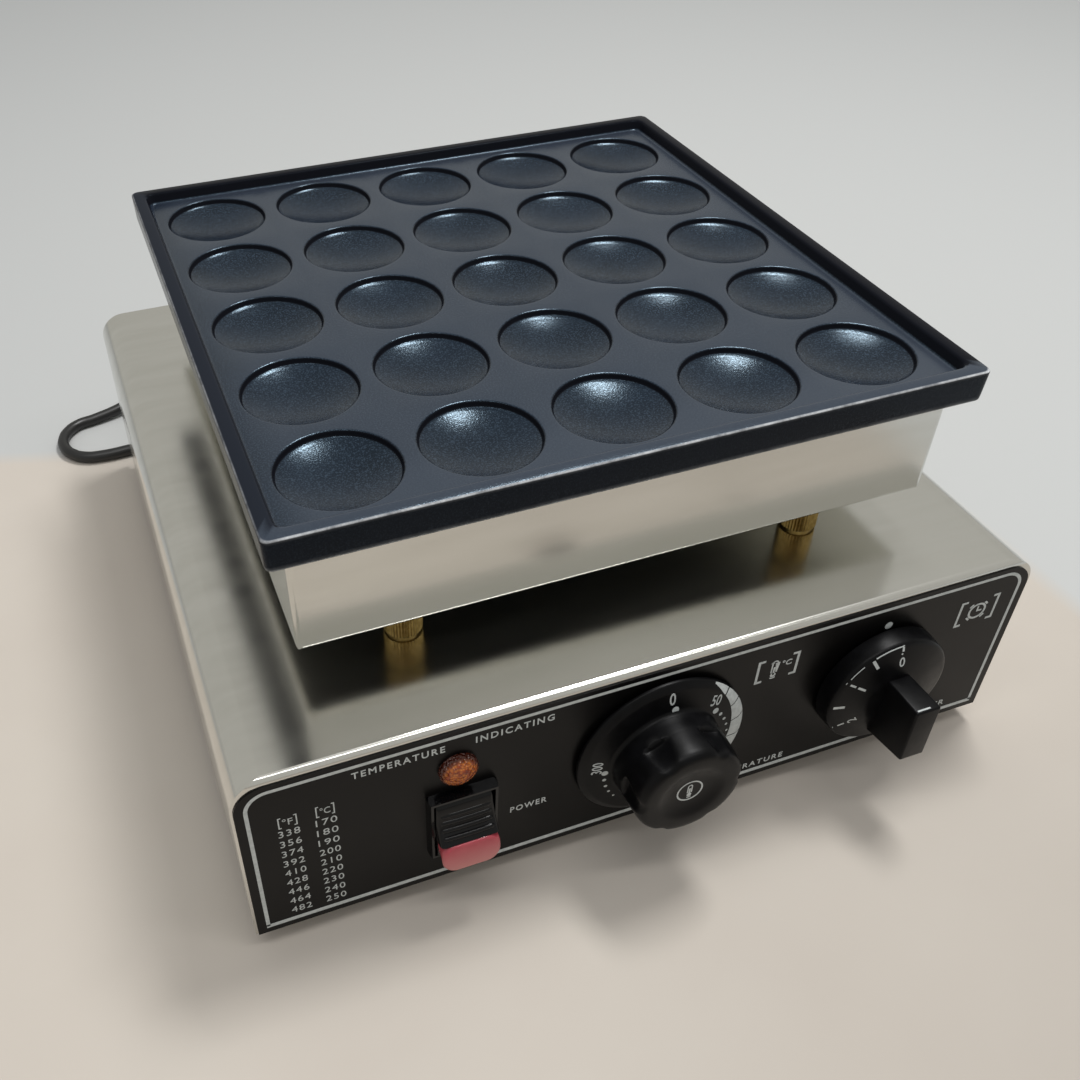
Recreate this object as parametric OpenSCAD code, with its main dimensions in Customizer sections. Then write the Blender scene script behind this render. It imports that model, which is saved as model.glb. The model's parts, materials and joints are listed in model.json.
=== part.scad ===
// Countertop mini pancake maker: a cast plate with a grid of shallow dishes sits on a heated steel box,
// which stands on four knurled spacers above a folded steel base with its controls in front.
// Millimetres, +Z up, front towards -Y, origin under the middle of the overall outline.

/* [Base casing] */
// Width of the base
base_w = 320; // [300:1:360]
// Depth of the base
base_d = 320; // [300:1:360]
// Height of the base casing above its feet
base_h = 85; // [80:1:110]
// Thickness of the casing sheet
base_sheet = 1.2; // [0.8:0.1:2]
// Outer radius of the bends along the left and right top edges
side_bend_r = 12; // [6:0.5:18]
// Outer radius of the bend along the front top edge
front_bend_r = 2.5; // [2.2:0.1:5]
// Width of the inward flanges that carry the bottom and back
flange_w = 14; // [12:0.5:18]
// Thickness of the bottom plate and of the back panel
cover_sheet = 1; // [0.8:0.1:2]
// Depth that the back panel lies inside the casing's rear edge
back_inset = 3; // [2.5:0.5:6]
// Height of the rubber feet
foot_h = 10; // [6:0.5:16]
// Diameter of the rubber feet at the floor
foot_d = 26; // [20:1:32]
// Distance from the casing's sides to the middle of a foot
foot_inset = 34; // [30:1:50]

/* [Grill plate] */
// Dishes along each side of the grid
dish_rows = 5; // [5:1:5]
// Distance between dish centres
dish_pitch = 50; // [47:0.5:52]
// Diameter of a dish at the cooking surface
dish_d = 43; // [38:0.5:45]
// Height of the steep wall at the edge of a dish
dish_wall_h = 2; // [1:0.1:2.5]
// Depth of a dish at its middle
dish_depth = 6; // [4.5:0.1:6.5]
// Inward lean of the dish wall over its height
dish_wall_run = 0.8; // [0.4:0.1:1.5]
// Flat land between the outer dishes and the foot of the rim
edge_land = 4.5; // [3:0.1:8]
// Width of the rim along its top
rim_w = 5.5; // [4:0.1:9]
// Run of the rim's sloping inner face
rim_slope = 1.8; // [0.8:0.1:3]
// Height of the rim above the cooking surface
rim_h = 4.3; // [3:0.1:8]
// Thickness of the plate below the cooking surface
plate_t = 8.6; // [8.2:0.1:12]
// Draft of the plate's outer edge over its height
plate_draft = 0.5; // [0.2:0.1:1.5]
// Radius of the plate's outer corners
plate_corner_r = 2.5; // [1:0.1:6]
// Radius of the tray's inner corners
tray_corner_r = 6; // [3:0.5:9]

/* [Heater box] */
// Overhang of the plate past the box on each side
plate_overhang = 7.8; // [4:0.1:12]
// Height of the heater box
box_h = 44.4; // [40:0.1:60]
// Thickness of the box sheet
box_sheet = 1; // [0.8:0.1:1.5]
// Outer radius of the box's bent edges
box_bend_r = 2.5; // [1.8:0.1:5]
// Width of the flange under the plate
box_flange_w = 12; // [11.5:0.5:13]
// Diameter of the heating element's sheath
element_d = 6.6; // [5:0.1:8]
// Gap between the element's end bends and the flange of the box
element_gap = 1.5; // [1:0.1:4]
// Thickness of the insulation board
board_t = 15; // [8:0.5:17]

/* [Spacers] */
// Clear height between base and heater box
standoff_h = 17; // [12:0.5:30]
// Diameter over the knurl
standoff_d = 14.5; // [13.5:0.1:18]
// Depth of the knurl
knurl_depth = 0.5; // [0.2:0.05:0.8]
// Distance from the box's left and right sides to a spacer's middle
standoff_inset_x = 42; // [30:0.5:60]
// Distance from the box's front and back to a spacer's middle
standoff_inset_y = 15.5; // [14:0.5:24]
// Diameter of the bolts through the spacers
bolt_d = 6; // [4:0.5:7]

/* [Control panel] */
// Thickness of the printed overlay
overlay_t = 0.6; // [0.4:0.1:1]
// Steel left showing beside the overlay
overlay_side = 1; // [0.5:0.1:3]
// Flat steel left showing between the overlay and the front bend
overlay_top = 0.1; // [0:0.1:3]
// Distance of the knobs' axes below the base's top
knob_drop = 42.3; // [40:0.1:44]
// Place of the thermostat's axis from the middle, to the right
thermostat_x = -1; // [-10:0.5:10]
// Place of the timer's axis from the middle, to the right
timer_x = 95; // [85:0.5:100]
// Place of the switch and lamp from the middle, to the right
switch_x = -80; // [-100:0.5:-70]
// Distance of the switch's middle below the base's top
switch_drop = 50; // [49:0.5:52]
// Gap between the lamp and the switch bezel
lamp_gap = 4.2; // [2.5:0.1:6]

/* [Thermostat knob] */
// Diameter of the skirt
skirt_d = 69; // [62:0.5:72]
// Diameter of the fluted grip
grip_d = 43.5; // [38:0.5:46]
// Reach of the knob in front of the panel
knob_reach = 26; // [24:0.5:29]
// Number of finger flutes
flute_count = 6; // [5:1:8]
// Radius of a finger flute
flute_r = 9; // [6:0.5:9]
// Depth of a finger flute into the grip
flute_depth = 2.5; // [1.5:0.1:3.5]
// Length of the flutes from the front end
flute_len = 12.5; // [8:0.5:13]

/* [Timer knob] */
// Diameter of the skirt at the panel
timer_skirt_d = 53.5; // [50:0.5:60]
// Height of the skirt
timer_skirt_h = 9.5; // [8:0.5:12]
// Reach of the knob in front of the panel
timer_reach = 30.5; // [28:0.5:34]
// Width of the bar grip at its front
bar_w = 11; // [9:0.5:14]
// Reach of the bar above the axis
bar_up = 11.5; // [10:0.5:14]
// Reach of the bar below the axis, at the skirt
bar_down = 20.5; // [16:0.5:23]

/* [Switch and lamp] */
// Width of the switch bezel
bezel_w = 27; // [26:0.5:30]
// Height of the switch bezel
bezel_h = 33; // [32:0.5:36]
// Height of the bezel in front of the panel
bezel_t = 4; // [3.5:0.1:5]
// Height of the rocker's face above the bezel, held level
rocker_rise = 6.5; // [6:0.1:8]
// Tilt of the rocker to each side
rocker_tilt = 8; // [5:0.5:8]
// Diameter of the lamp lens
lamp_d = 14.6; // [13:0.1:17]
// Height of the lamp lens in front of the panel
lamp_h = 5; // [3:0.1:6]

/* [Mains lead] */
// Diameter of the lead
cord_d = 6.4; // [6:0.1:6.4]
// Length of the hank's straight runs
hank_run = 100; // [90:1:104]
// Turns in the hank
hank_loops = 2.8; // [1.8:1:2.8]

/* [Hidden] */
$fn = 64;

// Clearances: fasteners in their holes, nested sheet edges, shafts in bores, soft contact
fit_gap = 0.3;
sheet_gap = 0.4;
run_gap = 0.05;
touch_gap = 0.3;
// Overrun of a cutter past the face that it opens
cut = 1;

// Heights from the floor upwards
base_z = foot_h;
top_z = base_z + base_h;
box_z = top_z + standoff_h;
plate_z = box_z + box_h;
surface_z = plate_z + plate_t;

// The outline from the furthest knob to the casing's rear edge is centred on the origin
front_reach = overlay_t + max(timer_reach, knob_reach);
mid_y = front_reach / 2;
front_y = mid_y - base_d / 2;
back_y = mid_y + base_d / 2;
panel_y = front_y - overlay_t;
wall_y = front_y + base_sheet;
back_face_y = back_y - back_inset;
back_seat_y = back_face_y - cover_sheet;
back_room_y = back_seat_y - base_sheet;
bottom_seat_z = base_z + cover_sheet;
floor_z = bottom_seat_z + base_sheet;

// Plate and box outlines
grid_w = (dish_rows - 1) * dish_pitch;
tray_w = grid_w + dish_d + 2 * edge_land;
plate_w = tray_w + 2 * (rim_slope + rim_w);
box_w = plate_w - 2 * plate_overhang;
standoff_x = box_w / 2 - standoff_inset_x;
standoff_y = box_w / 2 - standoff_inset_y;

// Small fasteners: shank, head width, head height
plate_screw = [4, 7.5, 2.6];
cover_screw = [3.5, 7, 2];
foot_screw = [4, 8, 2.6];
panel_screw = [4, 8, 2.2];
screw_slot = [0.8, 0.9];
bolt_head_h = 0.65 * bolt_d;
bolt_across = 1.9 * bolt_d;
washer_t = 1.2;
nut_h = 0.8 * bolt_d;

// Heating element: outer pairs of runs lie under the dish columns, and the end bends stay inside the flange
element_z = plate_z - touch_gap - element_d / 2;
outer_run_x = 2 * dish_pitch;
inner_run_x = dish_pitch;
pair_x = (outer_run_x + inner_run_x) / 2;
pair_r = (outer_run_x - inner_run_x) / 2;
element_limit = box_w / 2 - box_sheet - box_flange_w - element_gap - element_d / 2;
front_bend_y = element_limit - pair_r;
rear_bend_y = element_limit - inner_run_x;
outer_run_end = 80;
bead_d = element_d;
bead_h = 10;
pin_d = 3;
pin_len = 12;
bar_size = [2 * outer_run_x + 24, 12, 3];
bar_y = 1.5 * dish_pitch;
bar_top_z = element_z - element_d / 2 - touch_gap;
bar_screw_x = [-1.5 * dish_pitch, -0.5 * dish_pitch, 0.5 * dish_pitch, 1.5 * dish_pitch];
blind_depth = 5.5;
screw_in_plate = 4.5;

// Sensing bulb under the middle of the plate
bulb_d = 6;
bulb_ends = [-50, 40];
bulb_z = plate_z - touch_gap - bulb_d / 2;
clip_w = 12;
clip_t = 1;
clip_y = -0.5 * dish_pitch;
clip_ear = 8;

// Conduit that carries the wires up into the box
conduit_d = 16;
conduit_bore = 13;
conduit_shoulder = 22;
conduit_end = 9;
conduit_nut_h = 5;
conduit_nut_d = 24;
board_window = 44;

// Controls
knob_z = top_z - knob_drop;
switch_z = top_z - switch_drop;
lamp_side = 1.2;
lamp_x = switch_x - lamp_side;
lamp_z = switch_z + bezel_h / 2 + lamp_gap + lamp_d / 2;
shaft_d = 6;
shaft_flat = 1.2;
shaft_hole = 9;
body_screw_x = 14;
thermostat_size = [44, 30, 36];
timer_size = [48, 38, 42];
shaft_depth = 12;
shaft_in_knob = 14;
skirt_air = 1.2;

// Switch
switch_body = [22, 28, 28];
switch_wall = 1.8;
bezel_lip = 1;
bezel_slope = 0.8;
rocker_gap = 0.4;
pivot_depth = 3;
pivot_d = 4;
well_depth = 13;
well_h = 21;
core_h = 12;
core_depth = 5;
cap_base = bezel_t - 0.8;
cap_face = bezel_t + rocker_rise;
cap_w = bezel_w - 2 * (bezel_lip + bezel_slope + rocker_gap);
cap_end = bezel_h / 2 - bezel_lip - bezel_slope - 1.7;
cap_nose = bezel_h / 2 + 0.4;
lens_top = -4.1;
lens_seat = cap_base + 1.5;
lens_rise = 0.5;
scoop_end = 0.6 * cap_end;
scoop_fall = 0.66 * rocker_rise;
rib_count = 4;
rib_r = 1.2;
rib_first = -1.9;
rib_step = 2.9;
rib_stand = 0.45;
blade = [6.3, 10, 0.8];

// Lamp
lamp_stem_d = 11;
lamp_body_len = 26;
lamp_nut_d = 16;
lamp_nut_h = 4;

// Rear cable entry
gland_inset = 35;
gland_x = base_w / 2 - gland_inset;
gland_z = 32;
relief_flange_d = 22;
relief_flange_t = 3;
relief_base_d = 15;
relief_tip_d = 9.4;
relief_len = 36;
relief_tip_y = back_face_y + relief_flange_t + relief_len;
gland_thread_d = 13;
gland_nut_d = 20;
gland_nut_h = 5;
gland_inner_y = back_seat_y - gland_nut_h - 3;

// Terminal block and earth stud on the bottom plate
block_size = [60, 22, 20];
block_at = [60, 95];
block_poles = 3;
block_pole_x = 18;
block_hole_d = 4;
earth_at = [-40, 110];
earth_d = 5;
earth_h = 16;

// Wires
wire_d = 3;
wire_bend = 0.35 * base_h;
contact_x = 14;
contact_z = 8;
blade_x = 5.5;
blade_z = 7;
block_hole_y = 6;
block_hole_depth = 6;
capillary_d = 2;
wire_sides = 6;
conduit_wire_x = 3.4;
conduit_wire_y = 1.8;
capillary_y = -3.6;

// Hank: loops spiral in and out again in two layers and are drawn in at the waist. The last loop is long: it
// narrows, sways forward and sinks to the floor beside the casing, where its front run stays
hank_inner = 3.15 * cord_d;
hank_step = 1.5 * cord_d;
hank_layer = 1.1 * cord_d;
hank_turn_at = 1.15;
hank_waist = 0.22;
hank_behind = 9;
hank_widest = hank_inner + hank_step * (hank_loops - hank_turn_at);
hank_at = [gland_x - 195, back_y + hank_behind + hank_widest];
fold_inset = 20;
long_reach = 56;
long_nip = 3.05 * cord_d;
long_sway = 15.5;
taper_from = hank_run / 2 - 8;
run_share = 0.3;
run_rings = 8;
fold_rings = 7;
cord_z = cord_d / 2 + 0.1;
tie_w = 12;
tie_t = 0.6;
tie_gap = 0.4;
tie_lift = 0.8;

// Plug, beside the hank on the floor
plug_d = 27;
plug_at = [gland_x - 75, back_y + plug_d / 2 + 1];
plug_axis_z = plug_d / 2;
plug_neck_len = 18;
plug_body_len = 32;
plug_neck_d = 11;
plug_pin_len = 18;

// Free stretches by hand, as shares of the way along, back and down: strain relief to hank, hank to plug
lead_steps = [
    [0, 0.26, 0.02], [0.02, 0.53, 0.1], [0.06, 0.76, 0.24], [0.12, 0.91, 0.42], [0.19, 0.98, 0.61],
    [0.27, 1, 0.78], [0.35, 1, 0.91], [0.43, 1, 0.97], [0.52, 1, 1], [0.6, 1, 1], [0.69, 1, 1], [0.77, 1, 1],
    [0.85, 1, 1], [0.93, 1, 1]
];
tail_steps = [
    [0.1, 0.02, 0], [0.22, 0.06, 0], [0.35, 0.14, 0.1], [0.48, 0.3, 0.31], [0.6, 0.52, 0.55],
    [0.72, 0.76, 0.78], [0.84, 0.94, 0.94], [0.92, 1, 1]
];

// Colours
steel = "#a8a69b";
dark_plate = "#26282b";
black_print = "#1d1e1e";
black_plastic = "#202123";
brass = "#b99a55";
red_lens = "#b9545a";
amber_lens = "#a35a14";
zinc = "#b9bcc0";
rubber = "#1b1b1b";
ceramic = "#e6e0d2";
copper = "#b4713d";
pale_plastic = "#d9d6cc";

// 2-D rectangle with round corners, centred
module rounded_square(w, d, r) {
    square([w - 2 * r, d], center = true);
    square([w, d - 2 * r], center = true);
    for (x = [-1, 1], y = [-1, 1])
        translate([x * (w / 2 - r), y * (d / 2 - r)]) circle(r);
}

// 2-D outline with a flat foot and two round upper corners
module arch_profile(w, h, r) {
    translate([-w / 2, 0]) square([w, h - r]);
    translate([-w / 2 + r, 0]) square([w - 2 * r, h]);
    for (x = [-1, 1]) translate([x * (w / 2 - r), h - r]) circle(r);
}

// 2-D trapezium, centred in width, with its foot at height 0
module trapezium(foot, top, h) {
    polygon([[-foot / 2, 0], [foot / 2, 0], [top / 2, h], [-top / 2, h]]);
}

// Extrude an outline drawn in x and z along the depth
module along_y(y0, y1) {
    translate([0, y1, 0]) rotate([90, 0, 0]) linear_extrude(y1 - y0) children();
}

// Extrude an outline drawn in y and z along the width
module along_x(x0, x1) {
    translate([x0, 0, 0]) rotate([90, 0, 90]) linear_extrude(x1 - x0) children();
}

// Local frame on the front: x right, y up, z out of the panel
module on_front(x, y, z) {
    translate([x, y, z]) rotate([90, 0, 0]) children();
}

// Box from its lowest to its highest corner
module block(low, high) {
    translate(low) cube(high - low);
}

// Copies at the four corners of a rectangle around the machine's middle
module at_corners(x, y) {
    for (i = [-1, 1], j = [-1, 1]) translate([i * x, mid_y + j * y, 0]) children();
}

// Screw standing on z = 0 with its shank upwards and a cross-recessed head below
module screw(size, length) {
    head_d = size[1];
    head_h = size[2];
    recess_w = head_d * 0.6;
    difference() {
        rotate_extrude() polygon([
            [0, -head_h], [head_d * 0.32, -head_h], [head_d / 2, -head_h * 0.45], [head_d / 2, 0],
            [size[0] / 2, 0], [size[0] / 2, length], [0, length]
        ]);
        for (a = [0, 90]) rotate([0, 0, a])
            translate([-recess_w / 2, -screw_slot[0] / 2, -head_h - cut])
                cube([recess_w, screw_slot[0], screw_slot[1] + cut]);
    }
}

// Hexagon nut standing on z = 0
module hex_nut(across, height, bore) {
    difference() {
        cylinder(d = across / cos(30), h = height, $fn = 6);
        translate([0, 0, -cut]) cylinder(d = bore, h = height + 2 * cut);
    }
}

// Curve with given ends and handles
function curve(a, b, c, d, n) = [
    for (i = [0 : n]) let (t = i / n, s = 1 - t)
        s * s * s * a + 3 * s * s * t * b + 3 * s * t * t * c + t * t * t * d
];

// Direction of a route at each of its points
function heading(p, i) = let (
        n = len(p) - 1,
        d = i == 0 ? p[1] - p[0] : i == n ? p[n] - p[n - 1] : p[i + 1] - p[i - 1]
    ) d / norm(d);

// One ring of a swept tube, level side first; a steep route takes its side from the depth instead
function ring(at, along, r, sides, steep) = let (
        guide = steep ? [0, 1, 0] : [0, 0, 1],
        side = cross(along, guide) / norm(cross(along, guide)),
        up = cross(side, along)
    ) [for (k = [0 : sides - 1]) at + r * (cos(360 * k / sides) * side + sin(360 * k / sides) * up)];

// Round tube swept along a route, its end faces square to the given end directions
module tube(route, d, sides, steep = false, first = undef, last = undef) {
    n = len(route);
    points = [for (i = [0 : n - 1]) let (
            way = i == 0 && first != undef ? first : i == n - 1 && last != undef ? last : heading(route, i)
        ) each ring(route[i], way, d / 2, sides, steep)];
    walls = [for (i = [0 : n - 2], k = [0 : sides - 1]) let (
            a = i * sides + k,
            b = i * sides + (k + 1) % sides
        ) each [[a, a + sides, b], [b, a + sides, b + sides]]];
    ends = [for (k = [1 : sides - 2]) each [
            [0, k, k + 1],
            [(n - 1) * sides, (n - 1) * sides + k + 1, (n - 1) * sides + k]
        ]];
    polyhedron(points, concat(walls, ends), convexity = 10);
}

// Cast plate

// Outer block with draft on its four sides
module plate_block() {
    h = plate_t + rim_h;
    foot = plate_w - 2 * plate_draft;
    intersection() {
        along_y(mid_y - plate_w / 2, mid_y + plate_w / 2) translate([0, plate_z]) trapezium(foot, plate_w, h);
        along_x(-plate_w / 2, plate_w / 2) translate([mid_y, plate_z]) trapezium(foot, plate_w, h);
        translate([0, mid_y, plate_z]) linear_extrude(h) rounded_square(plate_w, plate_w, plate_corner_r);
    }
}

// Space inside the rim, wider at the top
module tray_space() {
    h = rim_h + cut;
    mouth = tray_w + 2 * rim_slope * h / rim_h;
    half = mouth / 2;
    intersection() {
        along_y(mid_y - half, mid_y + half) translate([0, surface_z]) trapezium(tray_w, mouth, h);
        along_x(-half, half) translate([mid_y, surface_z]) trapezium(tray_w, mouth, h);
        translate([0, mid_y, surface_z]) linear_extrude(h) rounded_square(mouth, mouth, tray_corner_r);
    }
}

// One dish: a short steep wall over a spherical bowl
module dish() {
    wall_r = dish_d / 2 - dish_wall_run;
    sag = dish_depth - dish_wall_h;
    bowl_r = (wall_r * wall_r + sag * sag) / (2 * sag);
    rotate_extrude() {
        polygon([
            [0, cut], [dish_d / 2, cut], [dish_d / 2, 0], [wall_r, -dish_wall_h], [0, -dish_wall_h]
        ]);
        intersection() {
            translate([0, bowl_r - dish_depth]) circle(bowl_r, $fn = 256);
            translate([0, -dish_depth - cut]) square([wall_r, sag + cut]);
        }
    }
}

module grill_plate() {
    color(dark_plate) difference() {
        plate_block();
        tray_space();
        for (i = [0 : dish_rows - 1], j = [0 : dish_rows - 1])
            translate([i * dish_pitch - grid_w / 2, mid_y + j * dish_pitch - grid_w / 2, surface_z]) dish();
        plate_screw_places() translate([0, 0, plate_z - cut])
            cylinder(d = plate_screw[0] + 2 * fit_gap, h = blind_depth + cut);
        clamp_screw_places() translate([0, 0, plate_z - cut])
            cylinder(d = plate_screw[0] + 2 * fit_gap, h = blind_depth + cut);
        clip_screw_places() translate([0, 0, plate_z - cut])
            cylinder(d = plate_screw[0] + 2 * fit_gap, h = blind_depth + cut);
    }
}

// Heater box and what it holds

module plate_screw_places() {
    edge = box_w / 2 - box_sheet - box_flange_w / 2;
    for (s = [-1, 1], t = [-1.5, 1.5]) {
        translate([s * edge, mid_y + t * dish_pitch, 0]) children();
        translate([t * dish_pitch, mid_y + s * edge, 0]) children();
    }
}

module clamp_screw_places() {
    for (x = bar_screw_x, s = [-1, 1]) translate([x, mid_y + s * bar_y, 0]) children();
}

module clip_screw_places() {
    for (s = [-0.5, 0.5]) translate([s * dish_pitch, mid_y + clip_y, 0]) children();
}

// Folded tray with bent edges, shrunk on every side by an inset
module box_form(inset) {
    w = box_w - 2 * inset;
    r = box_bend_r - inset;
    h = box_h - inset;
    intersection() {
        translate([0, mid_y, box_z + inset]) linear_extrude(h) rounded_square(w, w, r);
        along_y(mid_y - w / 2, mid_y + w / 2) translate([0, plate_z]) mirror([0, 1]) arch_profile(w, h, r);
        along_x(-w / 2, w / 2) translate([mid_y, plate_z]) mirror([0, 1]) arch_profile(w, h, r);
    }
}

module heater_box() {
    mouth = box_w - 2 * (box_sheet + box_flange_w);
    color(steel) difference() {
        box_form(0);
        intersection() {
            box_form(box_sheet);
            block([-box_w, mid_y - box_w, box_z], [box_w, mid_y + box_w, plate_z - box_sheet]);
        }
        block([-mouth / 2, mid_y - mouth / 2, plate_z - 2 * box_sheet],
              [mouth / 2, mid_y + mouth / 2, plate_z + cut]);
        plate_screw_places() translate([0, 0, plate_z - box_sheet - cut])
            cylinder(d = plate_screw[0] + 2 * fit_gap, h = box_sheet + 2 * cut);
        at_corners(standoff_x, standoff_y) translate([0, 0, box_z - cut])
            cylinder(d = bolt_d + 2 * fit_gap, h = box_sheet + 2 * cut);
        translate([0, mid_y, box_z - cut]) cylinder(d = conduit_d + 2 * fit_gap, h = box_sheet + 2 * cut);
    }
}

module plate_screws() {
    color(zinc) plate_screw_places() translate([0, 0, plate_z - box_sheet])
        screw(plate_screw, box_sheet + screw_in_plate);
}

// Straight run of the sheath at one x, between two places in depth
module element_run(x, y0, y1) {
    translate([x, mid_y + y1, element_z]) rotate([90, 0, 0]) cylinder(d = element_d, h = y1 - y0);
}

// Half-round bend of the sheath, opening to the front or to the back
module element_bend(x, y, r, front) {
    translate([x, mid_y + y, element_z]) rotate([0, 0, front ? 180 : 0])
        rotate_extrude(angle = 180) translate([r, 0]) circle(d = element_d);
}

module heating_element() {
    color(zinc) union() {
        for (s = [-1, 1]) {
            element_run(s * outer_run_x, -front_bend_y, outer_run_end);
            element_run(s * inner_run_x, -front_bend_y, rear_bend_y);
            element_bend(s * pair_x, -front_bend_y, pair_r, true);
        }
        element_bend(0, rear_bend_y, inner_run_x, false);
    }
}

module element_terminals() {
    color(ceramic) for (s = [-1, 1])
        translate([s * outer_run_x, mid_y + outer_run_end, element_z])
            rotate([-90, 0, 0]) rotate_extrude() polygon([
                [0, 0], [bead_d / 2, 0], [bead_d / 2, bead_h * 0.7], [bead_d * 0.35, bead_h],
                [pin_d / 2, bead_h], [pin_d / 2, bead_h + pin_len], [0, bead_h + pin_len]
            ]);
}

module clamp_bars() {
    color(zinc) for (s = [-1, 1]) difference() {
        translate([-bar_size[0] / 2, mid_y + s * bar_y - bar_size[1] / 2, bar_top_z - bar_size[2]])
            cube(bar_size);
        clamp_screw_places() translate([0, 0, bar_top_z - bar_size[2] - cut])
            cylinder(d = plate_screw[0] + 2 * fit_gap, h = bar_size[2] + 2 * cut);
    }
}

module clamp_screws() {
    bar_under_z = bar_top_z - bar_size[2];
    color(zinc) {
        clamp_screw_places() translate([0, 0, bar_under_z])
            screw(plate_screw, plate_z - bar_under_z + screw_in_plate);
        clip_screw_places() translate([0, 0, plate_z - clip_t]) screw(plate_screw, clip_t + screw_in_plate);
    }
}

module sensor_bulb() {
    color(copper) translate([0, mid_y + bulb_ends[1], bulb_z]) rotate([90, 0, 0])
        cylinder(d = bulb_d, h = bulb_ends[1] - bulb_ends[0]);
}

// Strap under the bulb with an ear screwed to the plate on each side
module bulb_clip() {
    saddle_r = bulb_d / 2 + touch_gap;
    ear_x = dish_pitch / 2 + clip_ear;
    color(zinc) difference() {
        along_y(mid_y + clip_y - clip_w / 2, mid_y + clip_y + clip_w / 2) difference() {
            union() {
                translate([-ear_x, plate_z - clip_t]) square([2 * ear_x, clip_t]);
                translate([0, bulb_z]) circle(saddle_r + clip_t);
                translate([-saddle_r - clip_t, bulb_z]) square([2 * (saddle_r + clip_t), plate_z - bulb_z]);
            }
            translate([0, bulb_z]) circle(saddle_r);
            translate([-saddle_r, bulb_z]) square([2 * saddle_r, plate_z - bulb_z + cut]);
            translate([-ear_x, plate_z]) square([2 * ear_x, 2 * bulb_d]);
        }
        clip_screw_places() translate([0, 0, plate_z - clip_t - cut])
            cylinder(d = plate_screw[0] + 2 * fit_gap, h = clip_t + 2 * cut);
    }
}

module insulation_board() {
    w = box_w - 2 * box_sheet - 2 * sheet_gap;
    corner_r = box_bend_r + sheet_gap;
    lift = box_bend_r - box_sheet;
    bolt_room = bolt_across / cos(30) + 2 * cut;
    color(ceramic) difference() {
        translate([0, mid_y, box_z + box_sheet]) union() {
            linear_extrude(lift) rounded_square(w - 2 * lift, w - 2 * lift, corner_r);
            translate([0, 0, lift]) linear_extrude(board_t - lift) rounded_square(w, w, corner_r);
        }
        translate([0, mid_y, box_z]) cylinder(d = board_window, h = board_t + 2 * cut);
        at_corners(standoff_x, standoff_y) translate([0, 0, box_z])
            cylinder(d = bolt_room, h = board_t + 2 * cut);
    }
}

// Spacers, bolts and conduit between box and base

// Outline of a knurl of pointed teeth
module knurl_outline(d, depth) {
    teeth = round(PI * d / (2.4 * depth));
    polygon([for (i = [0 : 2 * teeth - 1]) let (
            r = d / 2 - (i % 2) * depth,
            a = 180 * i / teeth
        ) r * [cos(a), sin(a)]]);
}

module standoffs() {
    collar_h = 1.2;
    color(brass) at_corners(standoff_x, standoff_y) translate([0, 0, top_z]) difference() {
        union() {
            cylinder(d = standoff_d - 3 * knurl_depth, h = standoff_h);
            translate([0, 0, collar_h]) linear_extrude(standoff_h - 2 * collar_h)
                knurl_outline(standoff_d, knurl_depth);
        }
        translate([0, 0, -cut]) cylinder(d = bolt_d + 2 * fit_gap, h = standoff_h + 2 * cut);
    }
}

module standoff_bolts() {
    head_z = box_z + box_sheet;
    shank_end = top_z - base_sheet - washer_t - nut_h - bolt_d / 3;
    color(zinc) at_corners(standoff_x, standoff_y) {
        translate([0, 0, head_z]) cylinder(d = bolt_across / cos(30), h = bolt_head_h, $fn = 6);
        translate([0, 0, shank_end]) cylinder(d = bolt_d, h = head_z - shank_end);
    }
}

module standoff_washers() {
    washer_d = 2.2 * bolt_d;
    washer_z = top_z - base_sheet - washer_t;
    color(zinc) at_corners(standoff_x, standoff_y) translate([0, 0, washer_z]) difference() {
        cylinder(d = washer_d, h = washer_t);
        translate([0, 0, -cut]) cylinder(d = bolt_d + 2 * fit_gap, h = washer_t + 2 * cut);
    }
}

module standoff_nuts() {
    color(zinc) at_corners(standoff_x, standoff_y) translate([0, 0, top_z - base_sheet - washer_t - nut_h])
        hex_nut(bolt_across, nut_h, bolt_d + 2 * run_gap);
}

module wire_conduit() {
    low = top_z - base_sheet - conduit_end;
    high = box_z + box_sheet + conduit_end;
    color(zinc) translate([0, mid_y, 0]) rotate_extrude() polygon([
        [conduit_bore / 2, low], [conduit_d / 2, low], [conduit_d / 2, top_z], [conduit_shoulder / 2, top_z],
        [conduit_shoulder / 2, box_z], [conduit_d / 2, box_z], [conduit_d / 2, high], [conduit_bore / 2, high]
    ]);
}

module conduit_nuts() {
    bore = conduit_d + 2 * run_gap;
    color(zinc) {
        translate([0, mid_y, box_z + box_sheet]) hex_nut(conduit_nut_d, conduit_nut_h, bore);
        translate([0, mid_y, top_z - base_sheet - conduit_nut_h]) hex_nut(conduit_nut_d, conduit_nut_h, bore);
    }
}

// Base casing

// Side view of the casing with its bent front top edge, shrunk by an inset
module front_bend_profile(inset) {
    r = front_bend_r - inset;
    h = base_h - inset;
    translate([front_y + inset, base_z - cut]) {
        square([base_d + cut, h - r + cut]);
        translate([r, 0]) square([base_d + cut - r, h + cut]);
        translate([r, h - r + cut]) circle(r);
    }
}

// Front view of the casing extruded in depth, shrunk at the sides and top by an inset
module casing_block(inset, y0, y1) {
    along_y(y0, y1) translate([0, base_z])
        arch_profile(base_w - 2 * inset, base_h - inset, max(side_bend_r - inset, cut));
}

// Solid form of the casing or of the room inside it
module casing_form(inset, y0, y1) {
    intersection() {
        casing_block(inset, y0, y1);
        along_x(-base_w / 2, base_w / 2) front_bend_profile(inset);
    }
}

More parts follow.
